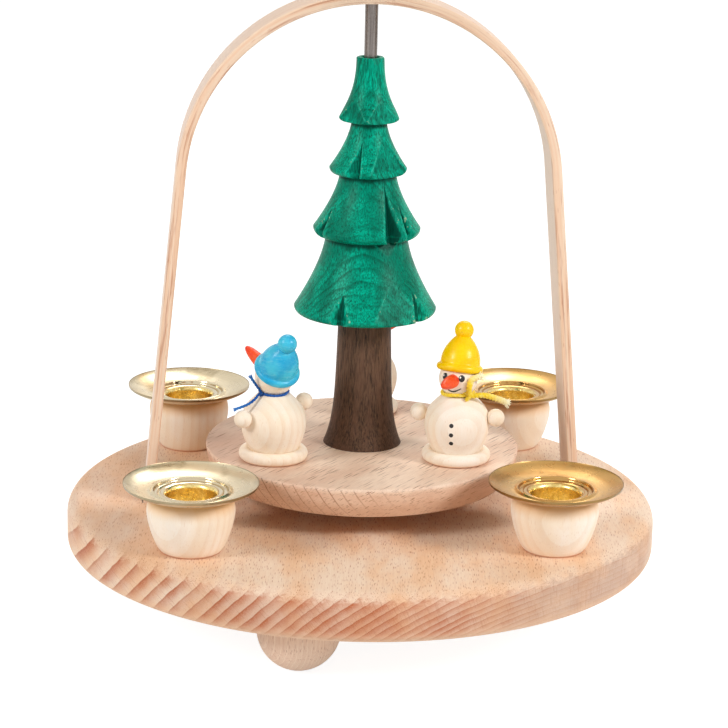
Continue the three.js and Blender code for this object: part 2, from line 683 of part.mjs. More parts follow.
function makeHead(figure) {
  const below = block(
    [-HEAD_RADIUS, -HEAD_RADIUS, -HEAD_RADIUS - OVERRUN],
    [HEAD_RADIUS, HEAD_RADIUS, BODY_HEIGHT - headRise],
  );
  const above = block(
    [-HAT_BRIM_RADIUS, -HAT_BRIM_RADIUS, HEAD_RADIUS * HAT_SEAT_SHARE - GLUE_GAP],
    [HAT_BRIM_RADIUS, HAT_BRIM_RADIUS, HEAD_RADIUS + OVERRUN],
  );
  above.applyQuaternion(headTurn(figure));
  return cutBy(ball(HEAD_RADIUS, FIGURE_FACETS), [below, above]);
}

function makeHat() {
  const seat = HEAD_RADIUS * HAT_SEAT_SHARE;
  const brim = roundPoints(
    [HAT_BRIM_RADIUS - HAT_BRIM_THICKNESS / 2, seat + HAT_BRIM_THICKNESS / 2],
    HAT_BRIM_THICKNESS / 2, -QUARTER_TURN, HAT_BRIM_END_TURN, HAT_BRIM_STEPS,
  );
  const crown = HAT_CROWN_SHARES.map(([out, up]) => [HAT_BRIM_RADIUS * out, seat + HAT_HEIGHT * up]);
  const neck = HAT_BRIM_RADIUS * HAT_CROWN_SHARES[HAT_CROWN_SHARES.length - 1][0];
  const dip = across(POMPOM_RADIUS, neck);
  const low = degrees(Math.atan2(-dip, neck));
  const pompom = roundPoints([0, seat + HAT_HEIGHT + dip], POMPOM_RADIUS, low, QUARTER_TURN, POMPOM_STEPS);
  pompom[pompom.length - 1][0] = 0;
  const profile = [[0, seat], ...brim, ...crown, ...pompom.slice(1)];
  return geometryOf(solidOf(turned(profile, HAT_FACETS)));
}

// A carrot nose, cut to sit on the round of the head
function makeNose() {
  const root = HEAD_RADIUS * NOSE_ROOT_SHARE;
  const tip = HEAD_RADIUS + NOSE_LENGTH;
  const profile = [[0, root]];
  for (let step = 0; step < NOSE_STEPS; step += 1) {
    const share = step / NOSE_STEPS;
    profile.push([NOSE_RADIUS * Math.sqrt(1 - share * share), mix(root, tip, share)]);
  }
  profile.push([0, tip]);
  const cone = turned(profile, SMALL_FACETS).rotateY(radians(QUARTER_TURN + NOSE_DIP));
  return cutBy(cone, [ball(HEAD_RADIUS + GLUE_GAP, FIGURE_FACETS)]);
}

function makeHand(side) {
  const seat = HAND_RADIUS * (1 - HAND_SEAT_SHARE);
  const flat = block(
    [-HAND_RADIUS, -HAND_RADIUS - OVERRUN, -HAND_RADIUS],
    [HAND_RADIUS, -seat, HAND_RADIUS],
  );
  return cutBy(ball(HAND_RADIUS, SMALL_FACETS), [flat]).rotateZ(side > 0 ? 0 : Math.PI);
}

// A string scarf: a ring round the neck, a knot and two loose tails
function makeScarf(figure) {
  const loopRadius = HEAD_RADIUS * SCARF_RADIUS_SHARE;
  const loop = turned(
    roundPoints([loopRadius, 0], SCARF_TUBE_RADIUS, 0, FULL_TURN, STRING_FACETS), FIGURE_FACETS,
  );
  const knot = ball(SCARF_KNOT_RADIUS, KNOT_FACETS).translate(loopRadius + SCARF_TUBE_RADIUS, 0, 0);
  const section = new THREE.Shape(
    roundPoints([0, 0], SCARF_TUBE_RADIUS, 0, FULL_TURN, STRING_FACETS).slice(1)
      .map(([x, y]) => new THREE.Vector2(x, y)),
  );
  const tails = figure.tailShares.map((route) => {
    const points = route.map(([out, side, up]) => new THREE.Vector3(
      loopRadius + SCARF_TUBE_RADIUS + HEAD_RADIUS * out, HEAD_RADIUS * side, HEAD_RADIUS * up,
    ));
    const start = new THREE.Vector3(loopRadius + SCARF_TUBE_RADIUS, 0, 0);
    const path = new THREE.CatmullRomCurve3([start, ...points]);
    return new THREE.ExtrudeGeometry(section, {
      steps: SCARF_TAIL_STEPS, extrudePath: path, bevelEnabled: false,
    });
  });
  return joined([loop, knot, ...tails]).rotateZ(radians(figure.knotTurn));
}

FIGURES.forEach((figure) => {
  const stand = new THREE.Group();
  stand.position.set(...onCircle(figureCircle, figure.turn, turntableTop));
  stand.rotation.z = radians(figure.bodyTurn);
  carousel.add(stand);
  const neck = new THREE.Group();
  neck.position.z = headRise;
  neck.quaternion.copy(headTurn(figure));
  stand.add(neck);
  place(stand, `${figure.name}_ring`, makeRing(), FINISHES.maple);
  place(stand, `${figure.name}_body`, makeBody(), FINISHES.maple);
  place(stand, `${figure.name}_head`, makeHead(figure), FINISHES.maple, [0, 0, headRise]);
  place(neck, `${figure.name}_hat`, makeHat(), [figure.hat, HAT_ROUGHNESS, 0]);
  place(neck, `${figure.name}_nose`, makeNose(), FINISHES.carrot);
  const handReach = BODY_RADIUS + GLUE_GAP + HAND_RADIUS * (1 - HAND_SEAT_SHARE);
  [1, -1].forEach((side, index) => {
    const rise = BODY_HEIGHT * (HAND_RISE_SHARE + figure.handRiseShares[index]);
    place(
      stand, `${figure.name}_hand_${side > 0 ? 'left' : 'right'}`, makeHand(side),
      FINISHES.maple, [0, side * handReach, rise],
    );
  });
  const scarfRise = BODY_HEIGHT + HEAD_RADIUS * SCARF_RISE_SHARE;
  place(
    stand, `${figure.name}_scarf`, makeScarf(figure),
    [figure.scarf, SCARF_ROUGHNESS, 0], [0, 0, scarfRise],
  );
});

// Rotor: a turned hub with a bore for the spindle and a ring of holes for the blades' pegs
const bladeTurns = [...Array(BLADE_COUNT).keys()].map((index) => (index * FULL_TURN) / BLADE_COUNT);
const pegHole = holeRadius(PEG_RADIUS, RUNNING_CLEARANCE, SMALL_FACETS);

function makeHub() {
  const half = HUB_HEIGHT / 2;
  const shoulder = HUB_RADIUS - HUB_ROUND_RADIUS;
  const profile = [
    [0, -half],
    ...roundPoints([shoulder, HUB_ROUND_RADIUS - half], HUB_ROUND_RADIUS, -QUARTER_TURN, 0, ROUND_STEPS),
    ...roundPoints([shoulder, half - HUB_ROUND_RADIUS], HUB_ROUND_RADIUS, 0, QUARTER_TURN, ROUND_STEPS),
    [0, half],
  ];
  const bore = rod(
    holeRadius(SPINDLE_RADIUS, RUNNING_CLEARANCE, SHAFT_FACETS),
    -half - OVERRUN, HUB_BORE_DEPTH - half, SHAFT_FACETS,
  );
  const socket = rod(
    holeRadius(FINIAL_TENON_RADIUS, GLUE_GAP, SMALL_FACETS),
    half - FINIAL_TENON_LENGTH - GLUE_GAP, half + OVERRUN, SMALL_FACETS,
  );
  const pegHoles = bladeTurns.map((turn) => rod(
    pegHole, HUB_RADIUS - PEG_DEPTH - GLUE_GAP, HUB_RADIUS + OVERRUN, SMALL_FACETS,
  ).rotateY(radians(QUARTER_TURN)).rotateZ(radians(turn)));
  return cutBy(turned(profile, TRUNK_FACETS), [bore, socket, ...pegHoles]);
}

function makeFinial() {
  const side = FINIAL_OUTLINE_SHARES.map(([out, up]) => [FINIAL_RADIUS * out, FINIAL_HEIGHT * up]);
  const profile = [
    [0, -FINIAL_TENON_LENGTH],
    [FINIAL_TENON_RADIUS, -FINIAL_TENON_LENGTH],
    [FINIAL_TENON_RADIUS, 0],
    ...side,
    [0, FINIAL_HEIGHT],
  ];
  return geometryOf(solidOf(turned(profile, SHAFT_FACETS)));
}

// A blade lies flat here, with its peg along +X. The board widens towards its rounded tip.
function makeBlade() {
  const rootHalf = BLADE_ROOT_WIDTH / 2;
  const tipHalf = BLADE_TIP_WIDTH / 2;
  const shape = new THREE.Shape();
  shape.moveTo(BLADE_ROOT_REACH, -rootHalf);
  shape.lineTo(BLADE_TIP_REACH - BLADE_CORNER_RADIUS, -tipHalf);
  shape.quadraticCurveTo(BLADE_TIP_REACH, -tipHalf, BLADE_TIP_REACH, -tipHalf + BLADE_CORNER_RADIUS);
  shape.lineTo(BLADE_TIP_REACH, tipHalf - BLADE_CORNER_RADIUS);
  shape.quadraticCurveTo(BLADE_TIP_REACH, tipHalf, BLADE_TIP_REACH - BLADE_CORNER_RADIUS, tipHalf);
  shape.lineTo(BLADE_ROOT_REACH, rootHalf);
  shape.closePath();
  const board = new THREE.ExtrudeGeometry(shape, {
    depth: BLADE_THICKNESS, curveSegments: ROUND_STEPS, bevelEnabled: false,
  }).translate(0, 0, -BLADE_THICKNESS / 2);
  const peg = turned([
    [0, HUB_RADIUS - PEG_DEPTH],
    [PEG_RADIUS, HUB_RADIUS - PEG_DEPTH],
    [PEG_RADIUS, BLADE_ROOT_REACH],
    [BLADE_THICKNESS / 2, BLADE_ROOT_REACH + PEG_OVERLAP],
    [0, BLADE_ROOT_REACH + PEG_OVERLAP],
  ], SMALL_FACETS).rotateY(radians(QUARTER_TURN));
  return joined([board, peg]);
}

place(carousel, 'rotor_hub', makeHub(), FINISHES.beech, [0, 0, hubMiddle]);
place(carousel, 'rotor_finial', makeFinial(), FINISHES.beech, [0, 0, hubBottom + HUB_HEIGHT]);
bladeTurns.forEach((turn, index) => {
  const arm = new THREE.Group();
  arm.position.z = hubMiddle;
  arm.rotation.z = radians(turn);
  carousel.add(arm);
  place(arm, `rotor_blade_${index + 1}`, makeBlade(), FINISHES.maple).rotation.x = radians(BLADE_PITCH);
});

export default carousel;
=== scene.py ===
import math
from functools import partialmethod

import bmesh
import bpy
import numpy as np
from mathutils import Euler, Matrix, Vector


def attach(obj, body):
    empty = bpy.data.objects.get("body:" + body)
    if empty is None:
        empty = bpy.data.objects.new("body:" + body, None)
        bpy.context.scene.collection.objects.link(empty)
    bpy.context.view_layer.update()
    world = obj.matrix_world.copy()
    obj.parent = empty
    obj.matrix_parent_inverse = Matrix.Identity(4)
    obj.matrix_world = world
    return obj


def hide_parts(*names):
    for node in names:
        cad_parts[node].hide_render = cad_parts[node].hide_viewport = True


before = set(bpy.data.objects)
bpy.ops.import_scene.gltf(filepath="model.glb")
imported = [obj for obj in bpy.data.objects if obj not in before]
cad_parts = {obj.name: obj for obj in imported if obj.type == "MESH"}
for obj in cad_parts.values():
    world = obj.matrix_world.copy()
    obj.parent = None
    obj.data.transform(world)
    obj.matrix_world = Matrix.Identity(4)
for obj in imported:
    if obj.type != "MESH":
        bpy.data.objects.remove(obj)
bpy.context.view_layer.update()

# Lengths are in millimetres and turns in degrees, as in the CAD. Only lamps and floor are in metres
MM = 0.001
FULL_TURN, QUARTER_TURN = 360, 90
GAP = 0.3
COARSE, FINE, FINER, FINEST = 48, 96, 192, 360

# The camera's place, which was fitted to the photograph
CAMERA_SPOT = (-59.7, -772.0, 291.33)
CAMERA_TURN, CAMERA_DIP, CAMERA_ROLL = 4.43, 15.6, 1.31
CAMERA_LENS, CAMERA_SENSOR, CAMERA_NEAR = 126.39, 36, 0.01

# Heights, from the table up
FOOT_RADIUS, FOOT_DROP, FOOT_FLAT = 12.6, 5.6, 3
FOOT_CENTRE = math.sqrt(FOOT_RADIUS ** 2 - FOOT_FLAT ** 2)
PLATE_BOTTOM = FOOT_CENTRE + FOOT_DROP
PLATE_TOP = PLATE_BOTTOM + 14.6
POCKET_FLOOR = PLATE_TOP - 6
HOLDER_HEIGHT = 17.2
HOLDER_TOP = PLATE_TOP + HOLDER_HEIGHT
TURNTABLE_BOTTOM = PLATE_TOP + 7.7
TURNTABLE_TOP = TURNTABLE_BOTTOM + 9.7
TRUNK_TOP = TURNTABLE_TOP + 42.4
TREE_RADIUS, TREE_HEIGHT = 22.2, 80
ARCH_CENTRE = PLATE_TOP + 100.8
ARCH_INNER_RADIUS, ARCH_THICKNESS, ARCH_WIDTH = 56.1, 3.2, 18
ARCH_SPLAY, ARCH_TENON, ARCH_EASING = 5.4, 8, 0.5
ARCH_CROWN = ARCH_CENTRE + ARCH_INNER_RADIUS
HUB_BOTTOM = ARCH_CROWN + ARCH_THICKNESS + 30
HUB_TOP = HUB_BOTTOM + 16
HUB_MIDDLE = (HUB_BOTTOM + HUB_TOP) / 2
HUB_RADIUS, HUB_BORE_DEPTH = 15, 9
SPINDLE_RADIUS, SPINDLE_TIP = 2, PLATE_TOP - 3.3
SPINDLE_TOP = HUB_BOTTOM + HUB_BORE_DEPTH - GAP
SHAFT_HOLE, RUNNING_HOLE = 2.39, 2.13

# Radii of the pattern, from the trunk outwards
TRUNK_FOOT, TRUNK_NECK = 12.3, 8.2
RING_CENTRE, RING_TUBE, RING_RISE = 8.686, 2.0, 1.84
FIGURE_CIRCLE = TRUNK_FOOT + 10.8 + RING_CENTRE + RING_TUBE
TURNTABLE_RADIUS = FIGURE_CIRCLE + 15.6
HOLDER_CIRCLE = TURNTABLE_RADIUS + 5.9 + 20.2
PLATE_RADIUS = HOLDER_CIRCLE + 17.5
FOOT_CIRCLE = PLATE_RADIUS - 24
FOOT_TURNS = (251, 371, 491)
HOLDER_TURNS = (43.9, 136.1, 223.9, -43.9)


# Outlines are lists of (radius, height) pairs, and a form is its vertices and its faces
def across(hypotenuse, side):
    return math.sqrt(hypotenuse * hypotenuse - side * side)


def mix(start, end, share):
    return start + (end - start) * share


def on_circle(radius, turn, height=0):
    angle = math.radians(turn)
    return Vector((radius * math.cos(angle), radius * math.sin(angle), height))


def shifted(*spot):
    return Matrix.Translation(spot)


def turned(degrees, axis):
    return Matrix.Rotation(math.radians(degrees), 4, axis)


def arc(centre, radius, start, end, steps):
    """Points of a round, from one turn to another."""
    turns = [math.radians(mix(start, end, step / steps)) for step in range(steps + 1)]
    return [(centre[0] + radius * math.cos(a), centre[1] + radius * math.sin(a)) for a in turns]


def eased(points, radius, steps=4, straight=172, most=0.45):
    """An open outline with its inner corners rounded, by no more than a share of either side."""
    out = [points[0]]
    for before, corner, after in zip(points, points[1:], points[2:]):
        corner = Vector(corner)
        back, on = Vector(before) - corner, Vector(after) - corner
        turn = back.angle(on, math.pi)
        if turn > math.radians(straight):
            out.append(tuple(corner))
            continue
        reach = min(radius / math.tan(turn / 2), back.length * most, on.length * most)
        start, end = corner + back.normalized() * reach, corner + on.normalized() * reach
        for step in range(steps + 1):
            t = step / steps
            out.append(tuple(start * (1 - t) ** 2 + corner * 2 * t * (1 - t) + end * t ** 2))
    out.append(points[-1])
    return out


def curve(points, per=6):
    """A smooth curve through points, with a few steps between each two."""
    pts = [Vector(p) for p in points]
    pts = [pts[0] * 2 - pts[1]] + pts + [pts[-1] * 2 - pts[-2]]
    out = []
    for a, b, c, d in zip(pts, pts[1:], pts[2:], pts[3:]):
        for step in range(per):
            t = step / per
            out.append((b * 2 + (c - a) * t + (a * 2 - b * 5 + c * 4 - d) * t * t
                        + (b * 3 - a - c * 3 + d) * t ** 3) / 2)
    out.append(pts[-2])
    return [tuple(p) for p in out]


def bands(rows, count, looped=False):
    """Faces between rows of points, where each row is closed on itself."""
    faces = []
    for row in range(rows if looped else rows - 1):
        low, high = row * count, (row + 1) % rows * count
        for index in range(count):
            after = (index + 1) % count
            faces.append([low + index, low + after, high + after, high + index])
    return faces


def lathe(profile, segments=FINE, looped=False):
    """A turned form about Z from its outline, which runs up the outside."""
    verts, rows = [], []
    for radius, height in profile:
        count = 1 if radius < 1e-6 else segments
        rows.append(range(len(verts), len(verts) + count))
        for index in range(count):
            turn = 2 * math.pi * index / segments
            verts.append((radius * math.cos(turn), radius * math.sin(turn), height))
    faces = []
    for low, high in zip(rows, rows[1:] + rows[:1] if looped else rows[1:]):
        for index in range(segments):
            after = (index + 1) % segments
            face = list(dict.fromkeys((low[index % len(low)], low[after % len(low)],
                                       high[after % len(high)], high[index % len(high)])))
            if len(face) > 2:
                faces.append(face)
    return verts, faces


def rod(radius, low, high, segments=40):
    return lathe([(0, low), (radius, low), (radius, high), (0, high)], segments)


def disc(radius, low, high, low_edge, high_edge, steps):
    """Outline of a disc with rounded edges."""
    return [(0, low), *arc((radius - low_edge, low + low_edge), low_edge, -QUARTER_TURN, 0, 8),
            *arc((radius - high_edge, high - high_edge), high_edge, 0, QUARTER_TURN, steps),
            (0, high)]


def slab(corners, low, high):
    """A flat form between two planes along Y, from its corners in X and Z."""
    count = len(corners)
    verts = [(x, low, z) for x, z in corners] + [(x, high, z) for x, z in corners]
    faces = [list(range(count)), list(range(count, 2 * count))[::-1]]
    faces += [[i, i + count, (i + 1) % count + count, (i + 1) % count] for i in range(count)]
    return verts, faces


def frames_along(path):
    """Points of a route, with directions sideways, up and on carried along it."""
    pts = [Vector(p) for p in path]
    side = (pts[1] - pts[0]).normalized().orthogonal().normalized()
    out = []
    for before, point, after in zip(pts[:1] + pts, pts, pts[1:] + pts[-1:]):
        tangent = (after - before).normalized()
        side = (side - tangent * side.dot(tangent)).normalized()
        out.append((point, side, tangent.cross(side), tangent))
    return out


STRAND_PITCH, STRAND_DEPTH = 3.2, 0.16


def tube(path, radii, segments, strands=0):
    """A round cord along a route, or one twisted from strands, with one radius or a list."""
    stations = frames_along(path)
    if not isinstance(radii, list):
        radii = [radii] * len(stations)
    verts, length, last = [], 0.0, stations[0][0]
    for radius, (point, side, up, tangent) in zip(radii, stations):
        length += (point - last).length
        last = point
        twist = 2 * math.pi * length / STRAND_PITCH
        for index in range(segments):
            angle = 2 * math.pi * index / segments
            wave = math.cos(strands * (angle - twist))
            reach = radius * (1 - STRAND_DEPTH + STRAND_DEPTH * wave) if strands else radius
            verts.append(point + (side * math.cos(angle) + up * math.sin(angle)) * reach)
    faces = bands(len(stations), segments)
    for row, sign in ((0, -1), (len(stations) - 1, 1)):
        point, side, up, tangent = stations[row]
        tip = len(verts)
        verts.append(point + tangent * sign * radii[row] * 0.5)
        for index in range(segments):
            a, b = row * segments + index, row * segments + (index + 1) % segments
            faces.append([a, b, tip][::sign])
    return verts, faces


def moved(form, matrix):
    return [tuple(matrix @ Vector(v)) for v in form[0]], form[1]


def together(*forms):
    verts, faces = [], []
    for form in forms:
        start = len(verts)
        verts += form[0]
        faces += [[start + index for index in face] for face in form[1]]
    return verts, faces


# Pieces
def shade(mesh, sharp):
    """Smooth shading, broken where faces turn by more than an angle."""
    mesh.shade_smooth()
    mesh.set_sharp_from_angle(angle=math.radians(sharp))


def make_mesh(name, form, sharp):
    mesh = bpy.data.meshes.new(name)
    mesh.from_pydata([tuple(c * MM for c in v) for v in form[0]], [], form[1])
    mesh.validate()
    mesh.update()
    work = bmesh.new()
    work.from_mesh(mesh)
    bmesh.ops.recalc_face_normals(work, faces=work.faces)
    work.to_mesh(mesh)
    work.free()
    shade(mesh, sharp)
    return mesh


def add_object(name, data):
    obj = bpy.data.objects.new(name, data)
    bpy.context.scene.collection.objects.link(obj)
    return obj


def piece(name, form, body, finish, nodes=(), sharp=50):
    """Adds a piece that rides on a body. finish is its material and that one's slot, of which only
    the material is used.
    """
    material, slot = finish
    obj = add_object(name, make_mesh(name, form, sharp))
    obj.data.materials.append(material)
    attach(obj, body)
    if nodes:
        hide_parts(*nodes)
    return obj


def store(obj, name, values):
    """Keeps a number or a vector with each of a mesh's vertices."""
    values = np.asarray(values, np.float32)
    kind, key = ("FLOAT", "value") if values.ndim == 1 else ("FLOAT_VECTOR", "vector")
    obj.data.attributes.new(name, kind, "POINT").data.foreach_set(key, values.ravel())


def cut(obj, form, sharp=40):
    """Takes a form out of a piece, and leaves no modifier behind."""
    cutter = add_object("cutter", make_mesh("cutter", form, sharp))
    change = obj.modifiers.new("cut", "BOOLEAN")
    change.operation, change.solver, change.object = "DIFFERENCE", "EXACT", cutter
    bpy.context.view_layer.update()
    evaluated = obj.evaluated_get(bpy.context.evaluated_depsgraph_get())
    shaped, old = bpy.data.meshes.new_from_object(evaluated), obj.data
    obj.modifiers.clear()
    obj.data = shaped
    shaped.name = obj.name
    bpy.data.meshes.remove(old)
    bpy.data.objects.remove(cutter)
    shade(shaped, sharp)


# Materials
WHITE = (1, 1, 1)
UPWARD = (0, 0, 1)


def linear(color):
    """A colour as it looks on the screen, in the shader's own terms."""
    return tuple(c / 12.92 if c <= 0.04045 else ((c + 0.055) / 1.055) ** 2.4 for c in color) + (1,)


def bare_nodes(owner):
    owner.use_nodes = True
    owner.node_tree.nodes.clear()
    return owner.node_tree


def feed(tree, node, inputs):
    """Joins or sets a node's inputs. What is None stays as it is."""
    for key, source in inputs.items():
        if isinstance(source, Value):
            source = source.socket
        if isinstance(source, bpy.types.NodeSocket):
            tree.links.new(source, node.inputs[key])
        elif source is not None:
            node.inputs[key].default_value = source


def add_node(tree, kind, inputs, **settings):
    node = tree.nodes.new(f"ShaderNode{kind}")
    for key, setting in settings.items():
        setattr(node, key, setting)
    feed(tree, node, inputs)
    return node


def made_by(tree, kind, inputs, output=0, **settings):
    return Value(tree, add_node(tree, kind, inputs, **settings).outputs[output])


def blend(tree, share, first, second):
    """A mix of two colours. A tuple is a colour as it looks on the screen."""
    first, second = (linear(c) if isinstance(c, tuple) else c for c in (first, second))
    inputs = {"Factor": share, "A": first, "B": second}
    return made_by(tree, "Mix", inputs, "Result", data_type="RGBA")


class Value:
    """A number, a point or a colour that a material's nodes work out. Sums with it add nodes."""

    def __init__(self, tree, socket):
        self.tree, self.socket = tree, socket

    def math(self, operation, other=None):
        return made_by(self.tree, "Math", {0: self, 1: other}, operation=operation)

    __add__ = partialmethod(math, "ADD")
    __sub__ = partialmethod(math, "SUBTRACT")
    __mul__ = partialmethod(math, "MULTIPLY")
    __truediv__ = partialmethod(math, "DIVIDE")

    def parts(self):
        node = add_node(self.tree, "SeparateXYZ", {0: self})
        return [Value(self.tree, socket) for socket in node.outputs]

    def stretched(self, *scale):
        inputs = {0: self, 1: scale}
        return made_by(self.tree, "VectorMath", inputs, operation="MULTIPLY")

    def noise(self, size=1, detail=2, rough=0.5):
        """Soft noise, whose patches are about that many millimetres across."""
        inputs = {"Vector": self, "Scale": 1 / size, "Detail": detail, "Roughness": rough}
        return made_by(self.tree, "TexNoise", inputs, "Fac")

    def cells(self, *size):
        """How far off the nearest of many scattered spots is, and two of its own random numbers."""
        point = self.stretched(*(1 / side for side in size))
        node = add_node(self.tree, "TexVoronoi", {"Vector": point, "Scale": 1})
        first, second, _ = Value(self.tree, node.outputs["Color"]).parts()
        return Value(self.tree, node.outputs["Distance"]), first, second

    def spots(self, size, edge, kept):
        """Scattered spots, with soft edges, of which only a share is kept."""
        away, chance, _ = self.cells(*size)
        return away.span(*edge) * chance.span(*kept)

    def span(self, low, high, to_low=0, to_high=1):
        """Maps one range smoothly onto another, held at the ends."""
        inputs = {"Value": self, "From Min": low, "From Max": high, "To Min": to_low,
                  "To Max": to_high}
        return made_by(self.tree, "MapRange", inputs, "Result", interpolation_type="SMOOTHSTEP")

    def between(self, first, second):
        """A mix of two colours, with this share of the second."""
        return blend(self.tree, self, first, second)

    def coated(self, color, share):
        return blend(self.tree, share, self, color)


class Paint:
    """One material with its slot in the record: its shader and what its patterns start from."""

    def __init__(self, name, slot, **values):
        self.material, self.slot = bpy.data.materials.new(name), slot
        self.tree = bare_nodes(self.material)
        values = {key.replace("_", " "): value for key, value in values.items()}
        self.shader = add_node(self.tree, "BsdfPrincipled", values)
        add_node(self.tree, "OutputMaterial", {0: self.shader.outputs[0]})
        self.where = add_node(self.tree, "TexCoord", {}).outputs

    def point(self, turn=(0, 0, 0)):
        """The point on the object in millimetres, turned."""
        inputs = {"Vector": self.where["Object"], "Scale": (1 / MM, 1 / MM, 1 / MM),
                  "Rotation": [math.radians(a) for a in turn]}
        return made_by(self.tree, "Mapping", inputs)

    def facing(self, axis):
        """How squarely the surface faces along an axis of the object, from 0 to 1."""
        inputs = {0: self.where["Normal"], 1: axis}
        return made_by(self.tree, "VectorMath", inputs, "Value",
                       operation="DOT_PRODUCT").math("ABSOLUTE")

    def stored(self, name, output):
        return made_by(self.tree, "Attribute", {}, output, attribute_name=name)

    def combined(self, *parts):
        return made_by(self.tree, "CombineXYZ", dict(enumerate(parts)))

    def finish(self, color, roughness, height=None, depth=0.0):
        """Joins it all up. depth is the relief's, in millimetres."""
        relief = None
        if height is not None:
            inputs = {"Distance": depth * MM, "Height": height}
            relief = made_by(self.tree, "Bump", inputs)
        inputs = {"Base Color": color, "Roughness": roughness, "Normal": relief}
        feed(self.tree, self.shader, inputs)
        return self.material, self.slot


def wood(name, slot, light, warm, ring, fleck, turn=(0, 0, 0), axis=(0, 1, 0), pith=(79, -160),
         year=2.2, widening=0.0, nearest=150, wave=2.5, ripples=0.12, band=(0.1, 0.92), fade=0.55,
         show=(0.05, 0.6), ends=(0.3, 0.86), end_shade=0.0, rim=0.0, calm=(), rays=0.0,
         ray_size=(0.9, 4.0), fleck_size=(0.62, 3.4, 0.62), fleck_dip=0, fleck_width=0.36,
         fleck_show=0.5, fleck_share=0.2, fleck_ends=0.3, fibre_show=0.2, blotch=26,
         rough=(0.5, 0.66), depth=0.03, light_and_shade_by_height=(), shade_towards_left=()):
    """Wood whose grain runs along its own Y once turned. axis is that direction in the object.

    Years: rounds about the pith, in X and Z, year apart, which widen outwards by a share of the
    distance past nearest. wave and ripples bend them, band and fade shape their dark part, and
    show is their strength on the side and on the end grain. ends says from where on, by how a
    face is turned, it counts as end grain. end_shade darkens that towards the pith, rim edges
    its years, and calm quietens it along X.
    Flecks and rays: small marks, given by size, dip, width, strength and the share left out.
    The height bands paint light and shade, and the X bands paint shade on what faces up, more and
    more towards -X."""
    paint = Paint(name, slot, Specular_IOR_Level=0.3)
    point = paint.point(turn)
    x, y, z = point.parts()
    dx, dz = x - pith[0], z - pith[1]
    reach = (dx * dx + dz * dz).math("SQRT")
    reach += point.stretched(1, 0.3, 1).noise(55) * (wave * 2)
    reach += point.stretched(1, 0.2, 1).noise(3.2) * (year * ripples)
    if widening:
        grown = ((reach - nearest) * (widening / year) + 1).math("MAXIMUM", 0.02)
        count = grown.math("LOGARITHM", math.e) / widening
    else:
        count = reach / year
    part = count.math("FRACT")
    chance = made_by(paint.tree, "TexWhiteNoise", {"W": count.math("FLOOR")},
                     noise_dimensions="1D")
    first, last = band
    late = part.span(first, first + 0.07) * part.span(last + 0.06, last)
    late = late * part.span(first, last, 1 - fade, 1) * chance.span(0, 1, 0.7, 1)
    upward = paint.facing(UPWARD)
    end = paint.facing(axis).span(*ends)
    color = point.stretched(1, 0.4, 1).noise(blotch, 4, 0.6).span(0.34, 0.66).between(light, warm)
    if end_shade:
        torn = point.stretched(0.5, 0.5, 1.1).noise(1, 3, 0.6) * 0.9
        end = end * (upward + (torn - 0.45)).span(0.8, 0.3, 0.1, 1)
        end = end * point.noise(10).span(0.35, 0.6, 0.7, 1)
        quiet = x.span(calm[0], calm[1], 1, calm[2])
        late = late * quiet
        color = color.coated(ring, end * (reach.span(165, 125, 0, end_shade) * quiet))
        # Towards +X the end grain turns darker and grey-pink: partly its tone, partly painted shade
        color = color.coated((0.66, 0.52, 0.45), end * ((quiet * -1 + 1) * 0.6))
    strength = (end * (show[1] - show[0]) + show[0]) * point.noise(0.45, 2, 0.6).span(0.3, 0.7, 0.8)
    color = color.coated(ring, late * strength)
    if rim:
        line = part.span(last - 0.14, last - 0.02) * late.span(0, 0.3)
        color = color.coated(fleck, line * (strength * rim))
    fibre = point.stretched(5.5, 0.2, 5.5).noise(1, 3, 0.62)
    pale = blend(paint.tree, 0.5, light, WHITE)
    color = color.coated(ring, fibre.span(0.46, 0.74, 0, fibre_show))
    color = color.coated(pale, fibre.span(0.48, 0.26, 0, fibre_show))
    inputs = {"Vector": point, "Rotation": (0, math.radians(fleck_dip), 0)}
    away, one, other = made_by(paint.tree, "Mapping", inputs).cells(*fleck_size)
    mark = away.span(fleck_width, fleck_width / 2)
    mark = mark * one.span(fleck_share - 0.08, fleck_share + 0.08)
    mark = mark * other.span(0, 1, 0.35) * end.span(0, 1, 1, fleck_ends)
    color = color.coated(fleck, mark * fleck_show)
    if rays:
        angle = dz.math("ARCTAN2", dx) * (180 / ray_size[0])
        fan = paint.combined(angle, reach / ray_size[1], y / 30)
        ray = fan.spots((1, 1, 1), (0.36, 0.2), (0.3, 0.5))
        ray = ray * paint.facing(axis).span(0.04, 0.3) * upward.span(0.85, 0.4)
        color = color.coated(fleck, ray * rays)
    left, _, level = paint.point().parts()
    # Painted shade on what faces up, more and more towards -X
    for low, high, painted_light, amount in shade_towards_left:
        color = color.coated(painted_light, left.span(low, high, amount, 0) * upward.span(0.5, 0.95))
    # Painted light and shade in bands by height
    for low, high, painted_light, amount in light_and_shade_by_height:
        color = color.coated(painted_light, level.span(low, high, amount, 0))
    gloss = fibre.span(0.3, 0.7, rough[1], rough[0])
    return paint.finish(color, gloss, fibre * 0.5 - mark * 0.3, depth)


